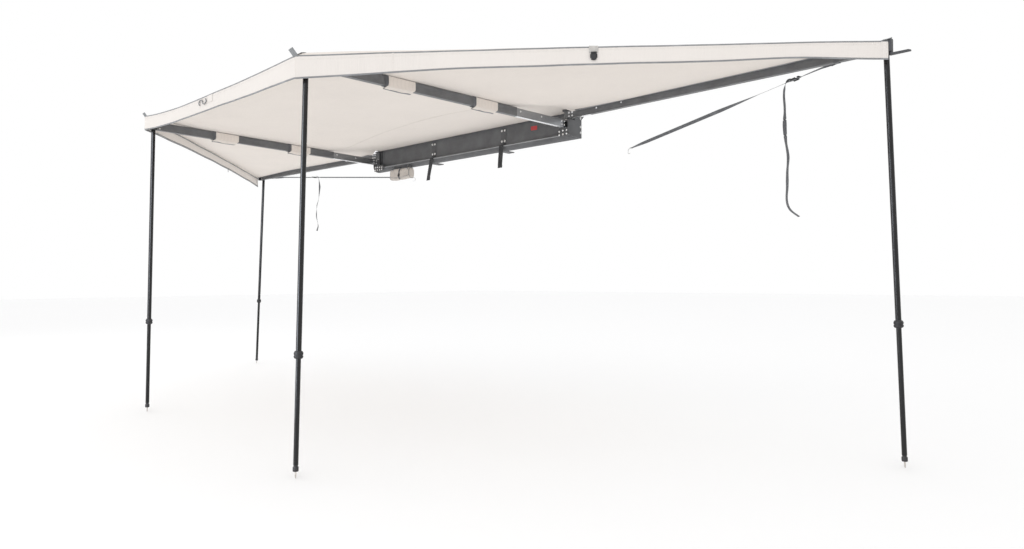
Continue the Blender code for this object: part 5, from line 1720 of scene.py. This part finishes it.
# vertical seam and end hems of the valances
for name, which, u, width, mat, who in (
    ("valance_seam_rear", "rear", 0.163, 0.010, CANVAS_REAR, "wing_rear"),
    ("valance_end_rear", "rear", 0.9930, 0.030, CANVAS_REAR, "wing_rear"),
    ("valance_end_front", "front", 0.9930, 0.030, CANVAS_FRONT, "wing_front"),
):
    line = edges[which]
    total = length_of([tuple(p) for p in line])
    du = width / total / 2
    for face, more in (("outer", 0.0011), ("inner", -0.0011)):
        grid = np.array([[valance_point(which, min(u + du * (k / 3 - 1), 1.0), s, 0.0, more) for k in range(7)]
                         for s in np.linspace(0.04, 0.93, 16)])
        carry(sheet_piece("%s_%s" % (name, face), grid, 0.0007, mat, None, "canvas"), who)
    rows = []
    for share in (-0.62, 0.62):
        for more, way in ((0.0017, 1), (-0.0017, -1)):
            pts = [valance_point(which, min(u + du * share, 1.0), s, 0.0, more) for s in np.linspace(0.04, 0.93, 16)]
            rows.append((pts, [tuple(outs[which] * way)] * 16))
    carry(stitches(rows, 0.0050, 0.00042, 0.00035).piece(name + "_stitching", THREAD, None, "canvas"), who)

# tape over the seams that lie on the centre arms
for side in ("rear", "front"):
    arm = "centre_" + side
    reach, z_end = (B_REACH, B_Z) if side == "rear" else (C_REACH, C_Z)
    rs = np.linspace(0.10, reach - 0.004, 90)
    shift = aside if side == "rear" else aside_front
    dip = corner_dip if side == "rear" else (lambda r: 0.0)
    grid = np.array([[along(arm, r, t + shift(r), over_arm(r, reach, z_end) - dip(r) + 0.0016 - abs(t) * 0.02) for r in rs]
                     for t in (-0.016, -0.011, -0.005, 0.0, 0.005, 0.011, 0.016)])
    band = sheet_piece("seam_tape_" + side, grid, 0.0009, BINDING, arm, "canvas")
    rows = []
    for t in (-0.0135, 0.0135):
        pts = [along(arm, r, t + shift(r), over_arm(r, reach, z_end) - dip(r) + 0.0022) for r in rs]
        rows.append((pts, [(0, 0, 1)] * len(rs)))
    sewn = stitches(rows, 0.0055, 0.00042, 0.00035).piece("seam_tape_stitching_" + side, THREAD_GREY, arm, "canvas")

# the wing panels' outer edges: a taped hem that is held to the arm's side
for side in WINGS:
    centre_arm, wing_arm, reach_c, z_c, reach_w, z_w = WINGS[side]
    ss = np.linspace(0.02, 0.995, 90)
    grid = []
    for da, dz in ((-0.016, 0.0014), (-0.008, 0.0015), (0.0000, 0.0013), (0.0022, 0.0006), (0.0022, -0.0006),
                   (0.0000, -0.0013), (-0.008, -0.0015), (-0.016, -0.0014)):
        row = []
        for s in ss:
            p = wing_point(side, 1.0, s)
            inward = Vector((-arm_direction(wing_arm).y, arm_direction(wing_arm).x, 0.0)) * mirror_of(wing_arm)
            row.append(p + inward * da + Vector((0.0, 0.0, dz)))
        grid.append(row)
    hem = sheet_piece("wing_hem_" + side, np.array(grid), 0.0007, BINDING, wing_arm, "canvas")

# ------------------------------------------------------- bare finishes of CAD
FINISH = {
    "back_plate": CASE, "canopy_rail": CASE, "hinge_bracket": BRACKET, "hinge_pin": STEEL,
    "hinge_washer": STEEL, "clamp_plate": BRACKET, "rack_bracket": BRACKET, "knuckle_wing": ARM,
    "knuckle": ALUMINIUM,
    "arm_centre": ARM, "arm_wing": ARM, "tip_bracket": PLASTIC, "pole_upper": POLE,
    "pole_lower": POLE, "lock_collar": PLASTIC, "foot_spike": PLASTIC, "edge_buckle": PLASTIC,
    "edge_hook": STEEL, "tie_buckle": PLASTIC, "tie_hook": STEEL, "closure_strap": STRAP_BLACK,
    "stow_pouch": CANVAS_TAN, "arm_sleeve": CANVAS_TAN,
}
for name, obj in frame["nodes"].items():
    for start, mat in FINISH.items():
        if name.startswith(start):
            obj.data.materials.clear()
            obj.data.materials.append(mat)
            break
    obj.data.shade_smooth()
    obj.data.set_sharp_from_angle(angle=math.radians(30.0))

# ------------------------------------------------------------ floor and light
floor = piece("floor", [(-40, -40, GROUND_Z), (40, -40, GROUND_Z), (40, 40, GROUND_Z), (-40, 40, GROUND_Z)],
              [(0, 1, 2, 3)], Paint("pale_floor", (0.965, 0.965, 0.967), 0.9).made, flat=True)
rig.stage(floor)
world = bpy.data.worlds.new("studio")
world.use_nodes = True
world.node_tree.nodes["Background"].inputs["Color"].default_value = (1.0, 1.0, 1.0, 1.0)
world.node_tree.nodes["Background"].inputs["Strength"].default_value = 1.0
bpy.context.scene.world = world
bpy.context.scene.view_settings.view_transform = "Standard"


def area_light(name, at, towards, size, power, colour=(1.0, 1.0, 1.0)):
    data = bpy.data.lights.new(name, "AREA")
    data.shape = "SQUARE"
    data.size = size
    data.energy = power
    data.color = colour
    obj = bpy.data.objects.new(name, data)
    bpy.context.scene.collection.objects.link(obj)
    obj.location = at
    obj.rotation_euler = (Vector(towards) - Vector(at)).to_track_quat("-Z", "Y").to_euler()
    return obj


area_light("key", (4.5, -7.0, 4.5), (0.0, -1.2, 0.0), 5.0, 60.0)
area_light("from_left", (-7.0, -6.0, 2.5), (0.0, -1.0, -0.2), 4.0, 90.0)
edge_light = area_light("edge_of_poles", (0.3, -7.2, -0.1), (1.0, -2.2, -0.9), 1.0, 420.0, (0.84, 0.90, 1.0))
edge_light.data.shape = "RECTANGLE"
edge_light.data.size, edge_light.data.size_y = 3.6, 3.6
edge_light.visible_diffuse = False
for lamp in [o for o in bpy.data.objects if o.type == "LIGHT"]:
    lamp.visible_camera = False

LOOKS_BOX = [[float(x) for x in corner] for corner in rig.bounds()]
with open("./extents.json", "w") as out:
    json.dump({"cad": CAD_BOX, "visual": LOOKS_BOX}, out)
